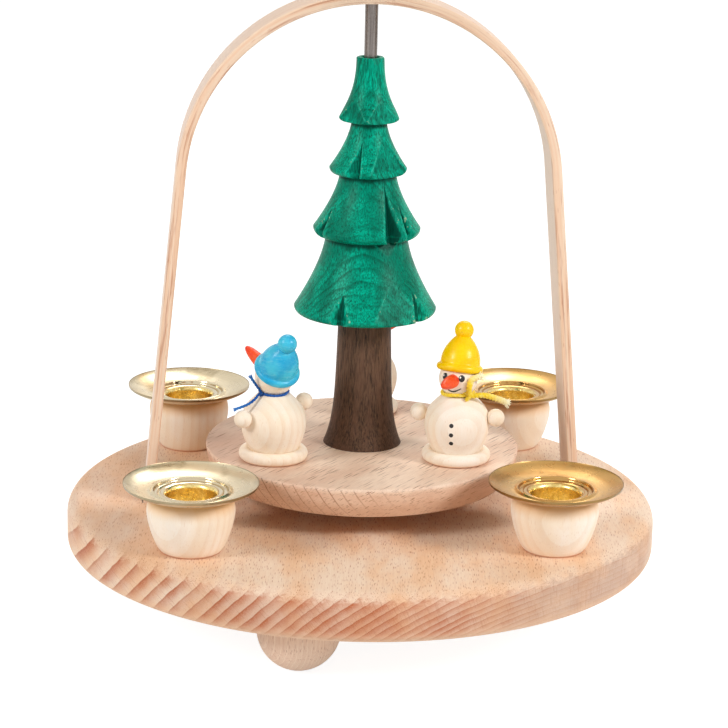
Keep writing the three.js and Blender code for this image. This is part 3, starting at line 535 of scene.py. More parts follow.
base_wood = wood(
    "base_beech", "beech", (0.955, 0.86, 0.765), (0.94, 0.775, 0.625), (0.73, 0.38, 0.20),
    (0.66, 0.33, 0.17), turn=(0, 0, 5), axis=(0.087, 0.996, 0), pith=(68, -72), widening=0.036,
    nearest=118, wave=1.6, ripples=0.25, band=(0.03, 0.93), fade=0.95, show=(0.04, 1.0),
    ends=(0.06, 0.4), end_shade=0.5, rim=0.5, calm=(20, 62, 0.15), rays=0.3, ray_size=(0.42, 7.0),
    fleck_size=(0.42, 3.4, 0.42), fleck_show=0.64, fleck_share=-0.02, fleck_ends=0.35, blotch=14,
    # Painted light: paler towards the bottom, for light thrown up by the floor
    light_and_shade_by_height=[(PLATE_BOTTOM + 1, PLATE_BOTTOM + 4, (0.95, 0.80, 0.67), 0.5)],
    # Painted shade: darker on what faces up, towards -X
    shade_towards_left=[(-84, -40, (0.72, 0.50, 0.36), 0.24)],
)
# The feet's beech is paler than the plate's: painted light for the shade under the plate
foot_wood = wood(
    "foot_beech", "beech", (1.0, 0.92, 0.84), (0.985, 0.87, 0.78), (0.82, 0.62, 0.48),
    (0.70, 0.47, 0.35), turn=(QUARTER_TURN, 0, 0), axis=(0, 0, 1), pith=(60, -40), year=1.3,
    wave=1.5, ripples=0.4, show=(0.3, 0.3), fade=0.3, fleck_size=(0.45, 3.0, 0.45),
    fleck_show=0.6, fibre_show=0.3,
)
turntable_wood = wood(
    "turntable_beech", "turntable_beech", (0.965, 0.865, 0.775), (0.90, 0.76, 0.66),
    (0.58, 0.38, 0.28), (0.53, 0.34, 0.23), turn=(0, 0, 35.4), axis=(0.58, 0.815, 0),
    pith=(-104, -15), year=3.2, wave=1.2, band=(0.02, 0.14), fade=0.0, show=(0.06, 0.8),
    ends=(0.62, 0.95), rays=0.2, ray_size=(0.6, 2.0), fleck_size=(0.32, 10.0, 2.0), fleck_dip=-58,
    fleck_show=0.85, fleck_share=0.12, fleck_ends=1.0, fibre_show=0.26, blotch=16,
    # Painted shade, with a warmer tone: darker down the side, below the top's rounding
    light_and_shade_by_height=[(TURNTABLE_TOP - 2.5, TURNTABLE_TOP - 0.8, (0.80, 0.55, 0.38), 0.3)],
    # Painted shade: darker on what faces up, towards -X
    shade_towards_left=[(-50, -8, (0.62, 0.44, 0.35), 0.4)],
)
rotor_wood = wood(
    "rotor_beech", "rotor_beech", (0.93, 0.80, 0.68), (0.90, 0.74, 0.61), (0.76, 0.53, 0.39),
    (0.6, 0.38, 0.27), pith=(30, 400), year=2.4, show=(0.1, 0.6),
)
MAPLE = {
    "slot": "maple", "light": (0.99, 0.95, 0.90), "warm": (0.985, 0.92, 0.83),
    "ring": (0.87, 0.68, 0.46), "fleck": (0.80, 0.62, 0.45), "turn": (QUARTER_TURN, 0, 0),
    "axis": (0, 0, 1), "year": 2.6, "wave": 1.5, "band": (0.05, 0.5), "fade": 0.6,
    "fleck_size": (0.42, 4.0, 0.42), "fleck_width": 0.3, "fleck_show": 0.25, "fleck_share": 0.35,
    "blotch": 12, "rough": (0.44, 0.58), "depth": 0.02,
}
figure_maple = wood(
    "maple", pith=(24, 31), show=(0.22, 0.12), fibre_show=0.13,
    # Painted contact shade: orange at the foot, where the ring meets the turntable
    light_and_shade_by_height=[(TURNTABLE_TOP, TURNTABLE_TOP + 0.9, (0.86, 0.60, 0.38), 0.8)], **MAPLE,
)
holder_maple = wood(
    "holder_maple", pith=(40, 60), show=(0.19, 0.14), fibre_show=0.1,
    # Painted contact shade at the foot, and painted shade under the dish, warmed as by light from
    # the brass
    light_and_shade_by_height=[(PLATE_TOP, PLATE_TOP + 0.9, (0.80, 0.50, 0.30), 0.85),
           (HOLDER_TOP, HOLDER_TOP - 5.5, (0.93, 0.70, 0.40), 0.8)], **MAPLE,
)


def streaked(name, slot, light, warm, streak, lines=(0.05, 3.2, 3.8), broad_face=None):
    """Wood whose grain follows the piece: the mesh says where each point lies in it. The broad
    face is the one that doesn't look along Y, and can have a calmer colour."""
    paint = Paint(name, slot, Specular_IOR_Level=0.35)
    point = paint.stored("grain", "Vector")
    broad = point.stretched(0.012, 0.35, 1.1).noise()
    fine = point.stretched(*lines).noise(1, 3, 0.6)
    color = broad.span(0.35, 0.68).between(light, warm)
    if broad_face:
        wide = paint.facing((0, 1, 0)).span(0.7, 0.3)
        color = color.coated(broad_face, wide * 0.75)
        color = color.coated(streak, fine.span(0.52, 0.68) * wide.span(0, 1, 0.6, 0.15))
    else:
        color = color.coated(streak, fine.span(0.5, 0.72, 0, 0.55))
    mark = point.spots((5.0, 0.8, 0.7), (0.22, 0.08), (0.4, 0.6))
    color = color.coated(streak, mark * 0.4)
    return paint.finish(color, fine.span(0.3, 0.7, 0.62, 0.5), fine - mark, 0.03)


def make_green():
    """Green stain, with years, pores and worn edges showing through, and painted shade in the
    hollows.
    """
    paint = Paint("green_stain", "tree_green", Specular_IOR_Level=0.06)
    point = paint.point()
    fibre = point.stretched(3.0, 3.0, 0.16).noise(1, 3, 0.65)
    grain = point.noise(0.7, 4, 0.75)
    cloud = point.stretched(0.14, 0.14, 0.06).noise()
    color = fibre.span(0.34, 0.66).between((0.0, 0.43, 0.345), (0.0, 0.72, 0.59))
    color = color.coated((0.0, 0.74, 0.61), grain.span(0.5, 0.74, 0, 0.35))
    color = color.coated((0.0, 0.36, 0.28), grain.span(0.5, 0.3, 0, 0.3))
    color = color.coated((0.0, 0.37, 0.29), cloud.span(0.42, 0.6, 0, 0.6))
    # The pith lies behind the tree, so that the years draw arches on its front
    x, y, _ = point.parts()
    dx, dy = x - 3, y - 30
    reach = (dx * dx + dy * dy).math("SQRT") + point.noise(14) * 4
    part = (reach / 1.5).math("FRACT")
    year = part.span(0, 0.12) * part.span(0.6, 0.12) * point.noise(11).span(0.42, 0.58, 0.15)
    color = color.coated((0.0, 0.33, 0.25), year * 0.6)
    pore = point.spots((0.6, 0.6, 16.0), (0.34, 0.16), (0.5, 0.6))
    color = color.coated((0.0, 0.2, 0.15), pore * 0.6)
    wear_and_shade = paint.stored("wear_and_shade", "Fac")
    rub = wear_and_shade.span(0.35, 1) * point.noise(2.2, 3, 0.7).span(0.4, 0.62, 0.15)
    color = color.coated((0.16, 0.78, 0.66), rub * 0.38)
    bare = wear_and_shade.span(0.5, 0.95) * point.noise(2.6, 3, 0.65).span(0.58, 0.68)
    color = color.coated((0.70, 0.80, 0.66), bare * 0.8)
    # Painted shade in the carved hollows and just under the tier above
    color = color.coated((0.0, 0.22, 0.18), wear_and_shade.span(-0.1, -0.7) * 0.75)
    return paint.finish(color, fibre.span(0.3, 0.7, 0.42, 0.3), fibre * 0.6 - pore, 0.06)


def make_bark():
    paint = Paint("brown_stain", "trunk_brown", Specular_IOR_Level=0.2)
    point = paint.point()
    fibre = point.stretched(3.4, 3.4, 0.22).noise(1, 3, 0.7)
    broad = point.stretched(0.5, 0.5, 0.05).noise()
    color = fibre.span(0.34, 0.68).between((0.2, 0.14, 0.1), (0.43, 0.32, 0.245))
    color = color.coated((0.45, 0.33, 0.26), broad.span(0.4, 0.7, 0, 0.5))
    pore = point.spots((0.8, 0.8, 5.0), (0.24, 0.08), (0.35, 0.55))
    color = color.coated((0.12, 0.08, 0.07), pore * 0.7)
    return paint.finish(color, fibre.span(0.3, 0.7, 0.62, 0.5), fibre - pore, 0.06)


def make_brass():
    """Spun brass. The mesh says how far from its axis and at what turn each point lies."""
    paint = Paint("brass", "brass", Metallic=1.0)
    point = paint.point()
    radius, turn, _ = paint.stored("dish", "Vector").parts()
    lines = paint.combined(radius * 7.0, turn * 1.6).noise(1, 3, 0.65)
    brushed = point.stretched(0.5, 5.0, 0.5).noise(1, 3, 0.6)
    # Painted reflection: pale and golden patches, paler to the left, more golden to the right
    cloud = point.noise(19, 1, 0.4) + point.parts()[0] * 0.003
    color = cloud.span(0.4, 0.6).between((0.85, 0.79, 0.67), (0.78, 0.61, 0.36))
    color = color.coated((0.60, 0.55, 0.40), lines.span(0.4, 0.72, 0, 0.25))
    tarnish = point.noise(12).span(0.54, 0.66) * brushed.span(0.35, 0.62, 0.3)
    color = color.coated((0.52, 0.44, 0.28), tarnish * radius.span(11.5, 13) * 0.55)
    # Painted light: the cup's inside is a brighter, more golden copy of the brass
    mottle = point.noise(1.1, 3, 0.7)
    inside = mottle.span(0.38, 0.62).between((0.96, 0.87, 0.60), (0.86, 0.74, 0.44))
    color = color.coated(inside, radius.span(8.7, 7.5))
    color = color.coated((0.46, 0.39, 0.26), radius.span(19.95, 20.1, 0, 0.6))
    rough = point.noise(2.2, 4, 0.7).span(0.3, 0.75, 0.13, 0.24)
    rough = rough + radius.span(11.0, 12.4, -0.05, 0.13) + radius.span(8.0, 7.45, 0, 0.16)
    return paint.finish(color, rough, lines, 0.004)


def make_steel():
    paint = Paint("steel", "steel", Metallic=1.0)
    point = paint.point()
    drawn = point.stretched(5, 5, 0.06).noise(1, 3, 0.6)
    spots = point.noise(0.9, 3, 0.7)
    color = drawn.span(0.3, 0.7).between((0.40, 0.37, 0.36), (0.58, 0.55, 0.53))
    color = color.coated((0.36, 0.29, 0.25), spots.span(0.55, 0.75, 0, 0.5))
    return paint.finish(color, spots.span(0.3, 0.7, 0.26, 0.42), drawn, 0.01)


def make_gloss(name, color, deep, pale):
    """Brushed paint over wood."""
    paint = Paint(name, name, Specular_IOR_Level=0.3)
    point = paint.point()
    stroke = point.stretched(0.4, 0.4, 1.2).noise(1, 3, 0.6)
    shade = point.noise(5).span(0.35, 0.7).between(color, deep)
    shade = shade.coated(pale, stroke.span(0.5, 0.75, 0, 0.4))
    return paint.finish(shade, stroke.span(0.3, 0.7, 0.2, 0.38), stroke, 0.05)


def make_carrot():
    paint = Paint("nose_stain", "nose_orange", Specular_IOR_Level=0.45)
    point = paint.point()
    fibre = point.noise(0.7, 3, 0.7)
    color = point.noise(3).span(0.35, 0.65).between((0.97, 0.32, 0.09), (0.93, 0.21, 0.05))
    color = color.coated((1.0, 0.50, 0.20), fibre.span(0.5, 0.75, 0, 0.5))
    return paint.finish(color, fibre.span(0.3, 0.7, 0.5, 0.38), fibre, 0.04)


def make_string(name, color, deep, pale, frayed):
    paint = Paint(name, name, Specular_IOR_Level=0.25, Sheen_Weight=0.35, Sheen_Roughness=0.4)
    point = paint.point()
    fuzz = point.noise(0.16, 3, 0.7)
    shade = fuzz.span(0.3, 0.7).between(deep, color)
    shade = shade.coated(pale, point.noise(1.5).span(0.45, 0.75, 0, 0.6))
    shade = shade.coated(frayed, paint.stored("fray", "Fac"))
    return paint.finish(shade, fuzz.span(0.3, 0.7, 0.7, 0.9), fuzz, 0.08)


def make_dot(name, color, deep):
    paint = Paint(name, "face_black", Specular_IOR_Level=0.5)
    cloud = paint.point().noise(0.5)
    return paint.finish(cloud.span(0.4, 0.65).between(color, deep), cloud.span(0.3, 0.7, 0.3, 0.45))


arch_wood = streaked("arch_beech", "arch_beech", (0.945, 0.845, 0.75), (0.925, 0.775, 0.655),
                     (0.70, 0.42, 0.28), (0.045, 1.3, 1.5), broad_face=(0.93, 0.86, 0.81))
blade_wood = streaked("blade_limewood", "blade_wood", (0.95, 0.87, 0.72), (0.91, 0.80, 0.63),
                      (0.78, 0.62, 0.44))
green, bark, brass, steel = make_green(), make_bark(), make_brass(), make_steel()
carrot = make_carrot()
black = make_dot("face_black", (0.07, 0.06, 0.06), (0.11, 0.10, 0.09))
white = make_dot("face_white", (0.97, 0.97, 0.96), (0.93, 0.93, 0.92))


# Base plate: rounded edges, mortises for the arch's legs and a pocket for the bearing
def leg_x(radius, height):
    """How far out a face of the arch's leg is at a height."""
    splay = math.radians(ARCH_SPLAY)
    rise = ARCH_CENTRE + radius * math.sin(splay) - height
    return radius * math.cos(splay) + rise * math.tan(splay)


PLATE_EDGES = (2.6, 4.7)
POCKET_RADIUS = 5.35
plate_form = lathe(disc(PLATE_RADIUS, PLATE_BOTTOM, PLATE_TOP, *PLATE_EDGES, 12), FINER)
plate = piece("plate_visual", plate_form, "base", base_wood, ["base_plate"])
for side in (1, -1):
    low, high = PLATE_TOP - ARCH_TENON, PLATE_TOP + 1
    inner, outer = ARCH_INNER_RADIUS, ARCH_INNER_RADIUS + ARCH_THICKNESS
    corners = [(leg_x(inner, low) - GAP, low), (leg_x(outer, low) + GAP, low),
               (leg_x(outer, high) + GAP, high), (leg_x(inner, high) - GAP, high)]
    corners = [(side * x, z) for x, z in corners]
    cut(plate, slab(corners, -ARCH_WIDTH / 2 - GAP, ARCH_WIDTH / 2 + GAP))
cut(plate, rod(POCKET_RADIUS, POCKET_FLOOR, PLATE_TOP + 1, COARSE))

# Ball feet
start = math.degrees(math.asin(FOOT_FLAT / FOOT_RADIUS)) - QUARTER_TURN
end = math.degrees(math.asin(FOOT_DROP / FOOT_RADIUS))
ball = arc((0, FOOT_CENTRE), FOOT_RADIUS, start, end, 24)
foot = lathe(eased([(0, 0)] + ball + [(0, PLATE_BOTTOM)], 0.3), 64)
for number, turn in enumerate(FOOT_TURNS, 1):
    form = moved(foot, shifted(*on_circle(FOOT_CIRCLE, turn)))
    piece(f"foot_visual_{number}", form, "base", foot_wood, [f"ball_foot_{number}"])

# Arch: a lath with eased edges, swept up its right leg, round its bend and down its left leg
LEG_STEPS, BEND_STEPS = 24, 96
splay = math.radians(ARCH_SPLAY)
half = ARCH_THICKNESS / 2
middle = ARCH_INNER_RADIUS + half
joint = Vector((middle * math.cos(splay), 0, ARCH_CENTRE + middle * math.sin(splay)))
down = Vector((math.sin(splay), 0, -math.cos(splay)))
leg_length = (joint.z - (PLATE_TOP - ARCH_TENON)) / math.cos(splay)
right_leg = [(joint + down * (leg_length * step / LEG_STEPS),
              Vector((math.cos(splay), 0, math.sin(splay)))) for step in range(LEG_STEPS, 0, -1)]
mirror = Vector((-1, 1, 1))
left_leg = [(point * mirror, out * mirror) for point, out in right_leg[::-1]]
bend = []
for step in range(BEND_STEPS + 1):
    turn = mix(splay, math.pi - splay, step / BEND_STEPS)
    out = Vector((math.cos(turn), 0, math.sin(turn)))
    bend.append((Vector((0, 0, ARCH_CENTRE)) + out * middle, out))
stations = right_leg + bend + left_leg
section = []
for quarter, (x_sign, y_sign) in enumerate(((1, 1), (-1, 1), (-1, -1), (1, -1))):
    centre = (x_sign * (half - ARCH_EASING), y_sign * (ARCH_WIDTH / 2 - ARCH_EASING))
    start = quarter * QUARTER_TURN
    section += arc(centre, ARCH_EASING, start, start + QUARTER_TURN, 3)
verts = [point + out * radial + Vector((0, wide, 0))
         for point, out in stations for radial, wide in section]
ends = [list(range(len(section))), list(range(len(verts) - len(section), len(verts)))]
arch_form = (verts, bands(len(stations), len(section)) + ends)
arch = piece("arch_visual", arch_form, "base", arch_wood, ["arch"])
cut(arch, rod(RUNNING_HOLE, ARCH_CROWN - 2, ARCH_CROWN + ARCH_THICKNESS + 2))
lengths = [0.0]
for (point, _), (after, _) in zip(stations, stations[1:]):
    lengths.append(lengths[-1] + (after - point).length)


def place_in_lath(spot):
    """How far along the bend a point lies, how far across its width and how far out."""
    flat = Vector((spot.x, 0, spot.z))
    near = min(range(len(stations)), key=lambda index: (stations[index][0] - flat).length_squared)
    point, out = stations[near]
    along = (flat - point).dot(out.cross(Vector((0, 1, 0))))
    return lengths[near] + along, spot.y, (flat - point).dot(out)


store(arch, "grain", [place_in_lath(vertex.co / MM) for vertex in arch.data.vertices])

# Candle holders, each with a well for the candle cup of its drip plate
HOLDER_SIDE = [(9, 0), (10.26, 1.9), (11.69, 5.33), (12.78, 9.29), (13.2, 12.73), (12.64, 15.48),
               (11.6, HOLDER_HEIGHT)]
HOLDER_PEG = [(0, -6), (4, -6), (4, 0)]
HOLDER_WELL = [(8.2, HOLDER_HEIGHT), (8.2, 6.0), (0, 6.0)]
DISH_FACE = [(9.62, 0.72), (9.8, 0.52), (10.5, 0.56), (10.95, 0.8), (11.15, 1.5), (11.4, 1.78),
             (11.9, 1.5), (12.6, 1.15), (14.4, 1.3), (16.64, 1.88), (18.7, 2.82), (19.75, 3.5),
             (20.12, 3.88)]
DISH_RIM = [(20.12, 3.72), (20.19, 3.86), (20.17, 3.97)]
CUP_OUTSIDE = [(0, -11), (7.5, -11), (7.9, -10.6), (7.9, -0.7), (8.35, 0.1)]
CUP_INSIDE = [(7.4, -10.1), (7.0, -10.5), (0, -10.5)]
holder = lathe(eased(HOLDER_PEG + curve(HOLDER_SIDE) + HOLDER_WELL, 0.25, 2))
face = arc((9.0, -0.75), 1.6, 180, 70, 10) + curve(DISH_FACE, 5)
back = [(radius + 0.12, height - 0.45) for radius, height in face if radius > 9.7]
dish = lathe(CUP_OUTSIDE + back[:-2] + DISH_RIM + face[::-1] + CUP_INSIDE)
for number, turn in enumerate(HOLDER_TURNS, 1):
    form = moved(holder, shifted(*on_circle(HOLDER_CIRCLE, turn, PLATE_TOP)))
    piece(f"holder_visual_{number}", form, "base", holder_maple, [f"candle_holder_{number}"])
    form = moved(dish, shifted(*on_circle(HOLDER_CIRCLE, turn, HOLDER_TOP)))
    obj = piece(f"dish_visual_{number}", form, "base", brass, [f"drip_plate_{number}"], sharp=60)
    store(obj, "dish", [(math.hypot(x, y), math.atan2(y, x), z) for x, y, z in dish[0]])

# Lower bearing, which has the brass of a dish's plain face, and spindle
PLAIN_BRASS = 12
BEARING_RADIUS, BEARING_CONE, BEARING_DEPTH, POINT_LENGTH = 5, 3.2, 3.6, 5
outline = [(0, POCKET_FLOOR), (BEARING_RADIUS, POCKET_FLOOR), (BEARING_RADIUS, PLATE_TOP),
           (BEARING_CONE, PLATE_TOP), (0, PLATE_TOP - BEARING_DEPTH)]
bearing = lathe(eased(outline, 0.2), COARSE)
obj = piece("bearing_visual", bearing, "base", brass, ["lower_bearing"])
store(obj, "dish", [(PLAIN_BRASS, 0, z) for _, _, z in bearing[0]])
outline = [(0, SPINDLE_TIP), (SPINDLE_RADIUS, SPINDLE_TIP + POINT_LENGTH),
           (SPINDLE_RADIUS, SPINDLE_TOP - HUB_BORE_DEPTH), (SPINDLE_RADIUS, SPINDLE_TOP),
           (0, SPINDLE_TOP)]
piece("spindle_visual", lathe(eased(outline, 0.25), COARSE), "carousel", steel, ["spindle"])

# Turntable
EDGE = 0.9
side = [(TURNTABLE_RADIUS - 3.3, TURNTABLE_BOTTOM + 0.5),
        (TURNTABLE_RADIUS - 0.9, TURNTABLE_BOTTOM + 4.4), (TURNTABLE_RADIUS, TURNTABLE_TOP - EDGE)]
outline = [(SHAFT_HOLE, TURNTABLE_BOTTOM), (TURNTABLE_RADIUS - 3.6, TURNTABLE_BOTTOM)]
outline += curve(side)
outline += arc((TURNTABLE_RADIUS - EDGE, TURNTABLE_TOP - EDGE), EDGE, 0, QUARTER_TURN, 6)[1:]
outline += [(SHAFT_HOLE, TURNTABLE_TOP)]
piece("turntable_visual", lathe(outline, FINER, looped=True), "carousel", turntable_wood,
      ["turntable"])

# Trunk
TRUNK_STEPS = 32
outline = [(SHAFT_HOLE, TURNTABLE_TOP)]
for step in range(TRUNK_STEPS + 1):
    up = (step / TRUNK_STEPS) ** 1.6
    flare = 0.3 * (1 - up) + 0.7 * (1 - up) ** 6
    outline.append((mix(TRUNK_NECK, TRUNK_FOOT, flare), mix(TURNTABLE_TOP, TRUNK_TOP, up)))
outline += [(SHAFT_HOLE, TRUNK_TOP)]
piece("trunk_visual", lathe(outline, looped=True), "carousel", bark, ["tree_trunk"])

# Tree tiers: turned bells with rounded rims, carved by wedges, in shares of the tree's radius and
# height. A cut is given by its turn, how far up the bell its apex starts, how deep it ends in the
# rim, and how far each of its walls leans away from straight out
FACET = 89
TIERS = [
    {"rim": 1, "neck": 0.575, "height": 0.306, "lip": 0.085,
     "cuts": [(-26, 0.32, 0.12, 52, 50), (48, 0.32, 0.12, 46, 60), (26, 0.46, 0.05, FACET, FACET),
              (112, 0.4, 0.12, 60, 30), (152, 0.46, 0.05, FACET, FACET), (198, 0.36, 0.12, 34, 58),
              (240, 0.32, 0.12, 56, 34)]},
    {"rim": 0.75, "neck": 0.395, "height": 0.245, "lip": 0.12,
     "cuts": [(29, 0.92, 0.28, 40, 40), (51, 0.5, 0.2, 30, 30), (-64, 0.4, 0.19, 46, 24),
              (122, 0.5, 0.2, 40, 30), (178, 0.85, 0.28, 40, 40), (232, 0.44, 0.19, 30, 46)]},
    {"rim": 0.54, "neck": 0.245, "height": 0.205, "lip": 0.08, "power": 1.58,
     "cuts": [(-20, 0.62, 0.2, 66, 18), (38, 0.66, 0.18, FACET, FACET), (114, 0.6, 0.18, 60, 20),
              (172, 0.66, 0.17, FACET, FACET), (242, 0.62, 0.18, 20, 62)]},
    {"rim": 0.425, "neck": 0.195, "height": 0.244, "lip": 0.055, "power": 2.4,
     "top_depth": 0.03, "top_shade": 0,
     "cuts": [(turn, 0.96, depth, FACET, FACET) for turn, depth in
              ((-46, 0.15), (26, 0.15), (98, 0.07), (170, 0.15), (242, 0.15))]},
]


def make_tier(low, rim, neck, height, lip, cuts, power=1.5, top_depth=0, top_shade=0.75):
    """A tier's form, and each vertex's wear, which goes below zero for painted shade."""
    rim, neck, lip = (TREE_RADIUS * share for share in (rim, neck, lip))
    height *= TREE_HEIGHT
    share = np.linspace(0, 1, 70) ** 1.15
    side = [(mix(neck, rim, (1 - s) ** power), mix(lip, height, s)) for s in share]
    profile = [(SHAFT_HOLE, 0), (mix(SHAFT_HOLE, rim, 0.5), 0)]
    profile += arc((rim - lip, lip), lip, -QUARTER_TURN, 0, 9)[:-1] + side[:-1]
    profile += [(neck - 0.12, height - 0.04), (neck - 0.3, height)]
    profile += [(mix(neck, SHAFT_HOLE, 0.6), height), (SHAFT_HOLE + 0.6, height)]
    profile += [(SHAFT_HOLE, height - 1.2)]
    radius, level = (np.tile([[p[i]] for p in profile], FINEST).astype(float) for i in (0, 1))
    turn = np.arange(FINEST) * 2 * math.pi / FINEST
    for cut_turn, top, depth, lean_left, lean_right in cuts:
        start = mix(neck, rim, (1 - top) ** power) - rim * top_depth
        rise = mix(lip, height, top)
        slope = (rim * (1 - depth) - start) / rise
        tilt = 1 / math.hypot(1, slope)
        apex = start + (rise - level) * slope
        off = (turn - math.radians(cut_turn - QUARTER_TURN) + math.pi) % (2 * math.pi) - math.pi
        lean = np.where(off > 0, math.radians(lean_right), math.radians(lean_left))
        room = tilt * np.cos(off) - np.abs(np.sin(off)) / np.tan(lean)
        reach = np.where(room > 1e-4, apex * tilt / np.maximum(room, 1e-4), np.inf)
        carved = np.minimum(radius, np.maximum(reach, SHAFT_HOLE + 0.8))
        radius = np.where(radius > SHAFT_HOLE + 0.7, carved, radius)
    points = np.stack([radius * np.cos(turn), radius * np.sin(turn), level + low], 2)
    # Where the surface bulges it is worn, and where it is hollow it gets painted shade
    before, after = np.roll(points, 3, 1), np.roll(points, -3, 1)
    bulge = radius - np.linalg.norm(((before + after) / 2)[..., :2], axis=2)
    step = np.linalg.norm(points - before, axis=2) + 1e-6
    wear_and_shade = np.clip((bulge / step - 0.03) * 9, -1, 1)
    at_rim = np.exp(-(((level - lip * 0.7) / 0.5) ** 2)) * 0.6
    wear_and_shade = np.where(wear_and_shade > 0, np.maximum(wear_and_shade, at_rim), wear_and_shade + at_rim)
    wear_and_shade = np.where(radius > SHAFT_HOLE + 0.9, wear_and_shade, 0)
    # Painted shade just under the lip of the tier above
    wear_and_shade -= np.clip((level - height + 2.2) / 1.6, 0, 1) * top_shade
    return (points.reshape(-1, 3).tolist(), bands(len(profile), FINEST, True)), wear_and_shade.ravel()


tier_low = TRUNK_TOP
for number, tier in enumerate(TIERS, 1):
    form, wear_and_shade = make_tier(tier_low, **tier)
    obj = piece(f"tier_visual_{number}", form, "carousel", green, [f"tree_tier_{number}"],
                sharp=180)
    store(obj, "wear_and_shade", wear_and_shade)
    tier_low += TREE_HEIGHT * tier["height"]

# Snowmen, each facing its own +X. hat and cord are colours. loop is the scarf's radius and height,
# string its thickness at the loop, the knot and the tails' ends, and a tail's points lie outwards,
# sideways and up from the knot, in shares of the head's radius
BODY_RADIUS, BODY_HEIGHT, HEAD_RADIUS = 10.1, 21, 6
HAND_RADIUS, HAND_RISE, HAND_SUNK = 2.75, 0.69, 0.55
HEAD_RISE = BODY_HEIGHT + across(HEAD_RADIUS, HEAD_RADIUS / 2)
HEAD_LOW, HEAD_HIGH = -62, 19
HAT_SEAT = HEAD_RADIUS * 0.34
HAT_BRIM, HAT_BRIM_EDGE, HAT_HEIGHT, POMPOM, POMPOM_SEAT = 7.2, 1.25, 10.9, 2.95, 2.2
NOSE_RADIUS, NOSE_LENGTH, NOSE_DIP = 2.1, 9.4, 8
EYE_TURN, EYE_RISE, EYE_RADIUS = 27, 3, 1.02
GLINT_SHIFT, GLINT_RISE, GLINT_RADIUS = 4.5, 5.5, 0.32
SMILE_RISE, SMILE_SAG, SMILE_STEPS = -30, 12, 20
BUTTON_RISES, BUTTON_RADIUS = (13.7, 10.7, 7.9), 0.76
DOT_SUNK, DOT_PROUD = 0.12, 0.1
CORD_SIDES, KNOT_SIDES, HAIRS = 18, 14, 22
FIGURES = [
    {"colour": "yellow", "turn": 325.7, "body": 253.6, "head": -8, "tilt": 13, "roll": 1.2,
     "knot": 45, "hands": (0, 0), "string": (0.66, 0.85, 1.1), "loop": (4.8, 21.75),
     "hat": ((1.0, 0.84, 0.0), (1.0, 0.79, 0.0), (1.0, 0.88, 0.08)),
     "cord": ((1.0, 0.92, 0.28), (0.98, 0.80, 0.08), (1.0, 0.96, 0.62), (1.0, 0.98, 0.85)),
     "tails": [[(0.16, 0.2, 0.04), (0.36, 0.8, 0.02), (0.5, 1.4, -0.18), (0.55, 2.0, -0.46)],
               [(0.1, -0.02, 0.2), (0.24, -0.1, 0.6), (0.28, 0.02, 0.92), (0.2, 0.5, 1.02)]]},
    {"colour": "blue", "turn": 211.5, "body": 126.6, "head": 2, "tilt": 33, "roll": 7.3,
     "knot": 90, "hands": (0.01, 0.08), "string": (0.46, 0.46, 0.48), "loop": (4.42, 21.45),
     "hat": ((0.27, 0.78, 0.90), (0.13, 0.67, 0.86), (0.52, 0.86, 0.92)),
     "cord": ((0.08, 0.38, 0.72), (0.03, 0.22, 0.52), (0.22, 0.50, 0.80), (0.2, 0.5, 0.8)),
     "tails": [[(0.16, 0, 0.02), (0.45, 0.02, -0.2), (0.85, -0.02, -0.4), (1.4, -0.2, -0.58)],
               [(0.1, 0, 0.2), (0.24, -0.05, 0.42), (0.4, -0.1, 0.66), (0.54, -0.14, 0.88)]]},
    {"colour": "red", "turn": 84, "body": 11.6, "head": 0, "tilt": 30, "roll": 5,
     "knot": 70, "hands": (0, 0), "string": (0.6, 0.6, 0.66), "loop": (4.7, 21.6),
     "hat": ((0.80, 0.13, 0.10), (0.72, 0.09, 0.08), (0.88, 0.26, 0.20)),
     "cord": ((0.74, 0.14, 0.12), (0.56, 0.07, 0.07), (0.85, 0.32, 0.27), (0.9, 0.5, 0.42)),
     "tails": [[(0.16, 0.1, 0.02), (0.45, 0.5, -0.06), (0.75, 0.9, -0.16), (1, 1.3, -0.24)],
               [(0.1, 0, 0.2), (0.28, 0.05, 0.5), (0.42, 0.16, 0.8), (0.52, 0.3, 1.1)]]},
]
BODY_SIDE = [(0.5, 0.05), (0.62, 0.085), (0.75, 0.16), (0.9, 0.32), (0.99, 0.49), (0.98, 0.66),
             (0.84, 0.82), (0.48, 1)]
HAT_SIDE = [(6.2, 2.55), (5.95, 4.8), (5.1, 7.2), (3.7, 9.4), (2.45, HAT_HEIGHT - 0.12),
            (2.16, HAT_HEIGHT)]


def make_hat():
    brim = arc((HAT_BRIM - HAT_BRIM_EDGE, HAT_SEAT + HAT_BRIM_EDGE), HAT_BRIM_EDGE,
               -QUARTER_TURN, 74, 10)
    crown = curve([(radius, HAT_SEAT + height) for radius, height in HAT_SIDE])
    dip = across(POMPOM, POMPOM_SEAT)
    low = math.degrees(math.atan2(-dip, POMPOM_SEAT))
    pompom = arc((0, HAT_SEAT + HAT_HEIGHT + dip), POMPOM, low, QUARTER_TURN, 16)
    return lathe([(0, HAT_SEAT + 0.02)] + brim + crown + pompom)


def make_nose():
    steps, root, tip = 26, HEAD_RADIUS * 0.9, HEAD_RADIUS + NOSE_LENGTH
    side = [(across(1, s / steps) * NOSE_RADIUS, mix(root, tip, s / steps)) for s in range(steps)]
    return moved(lathe([(0, root)] + side + [(0, tip)], 40), turned(QUARTER_TURN + NOSE_DIP, "Y"))


def on_head(turn, rise, out=0.0):
    """A point on the head's round, by its turn from the nose and its rise."""
    flat = on_circle(1, rise)
    return (on_circle(flat.x, turn) + Vector((0, 0, flat.y))) * (HEAD_RADIUS + out)


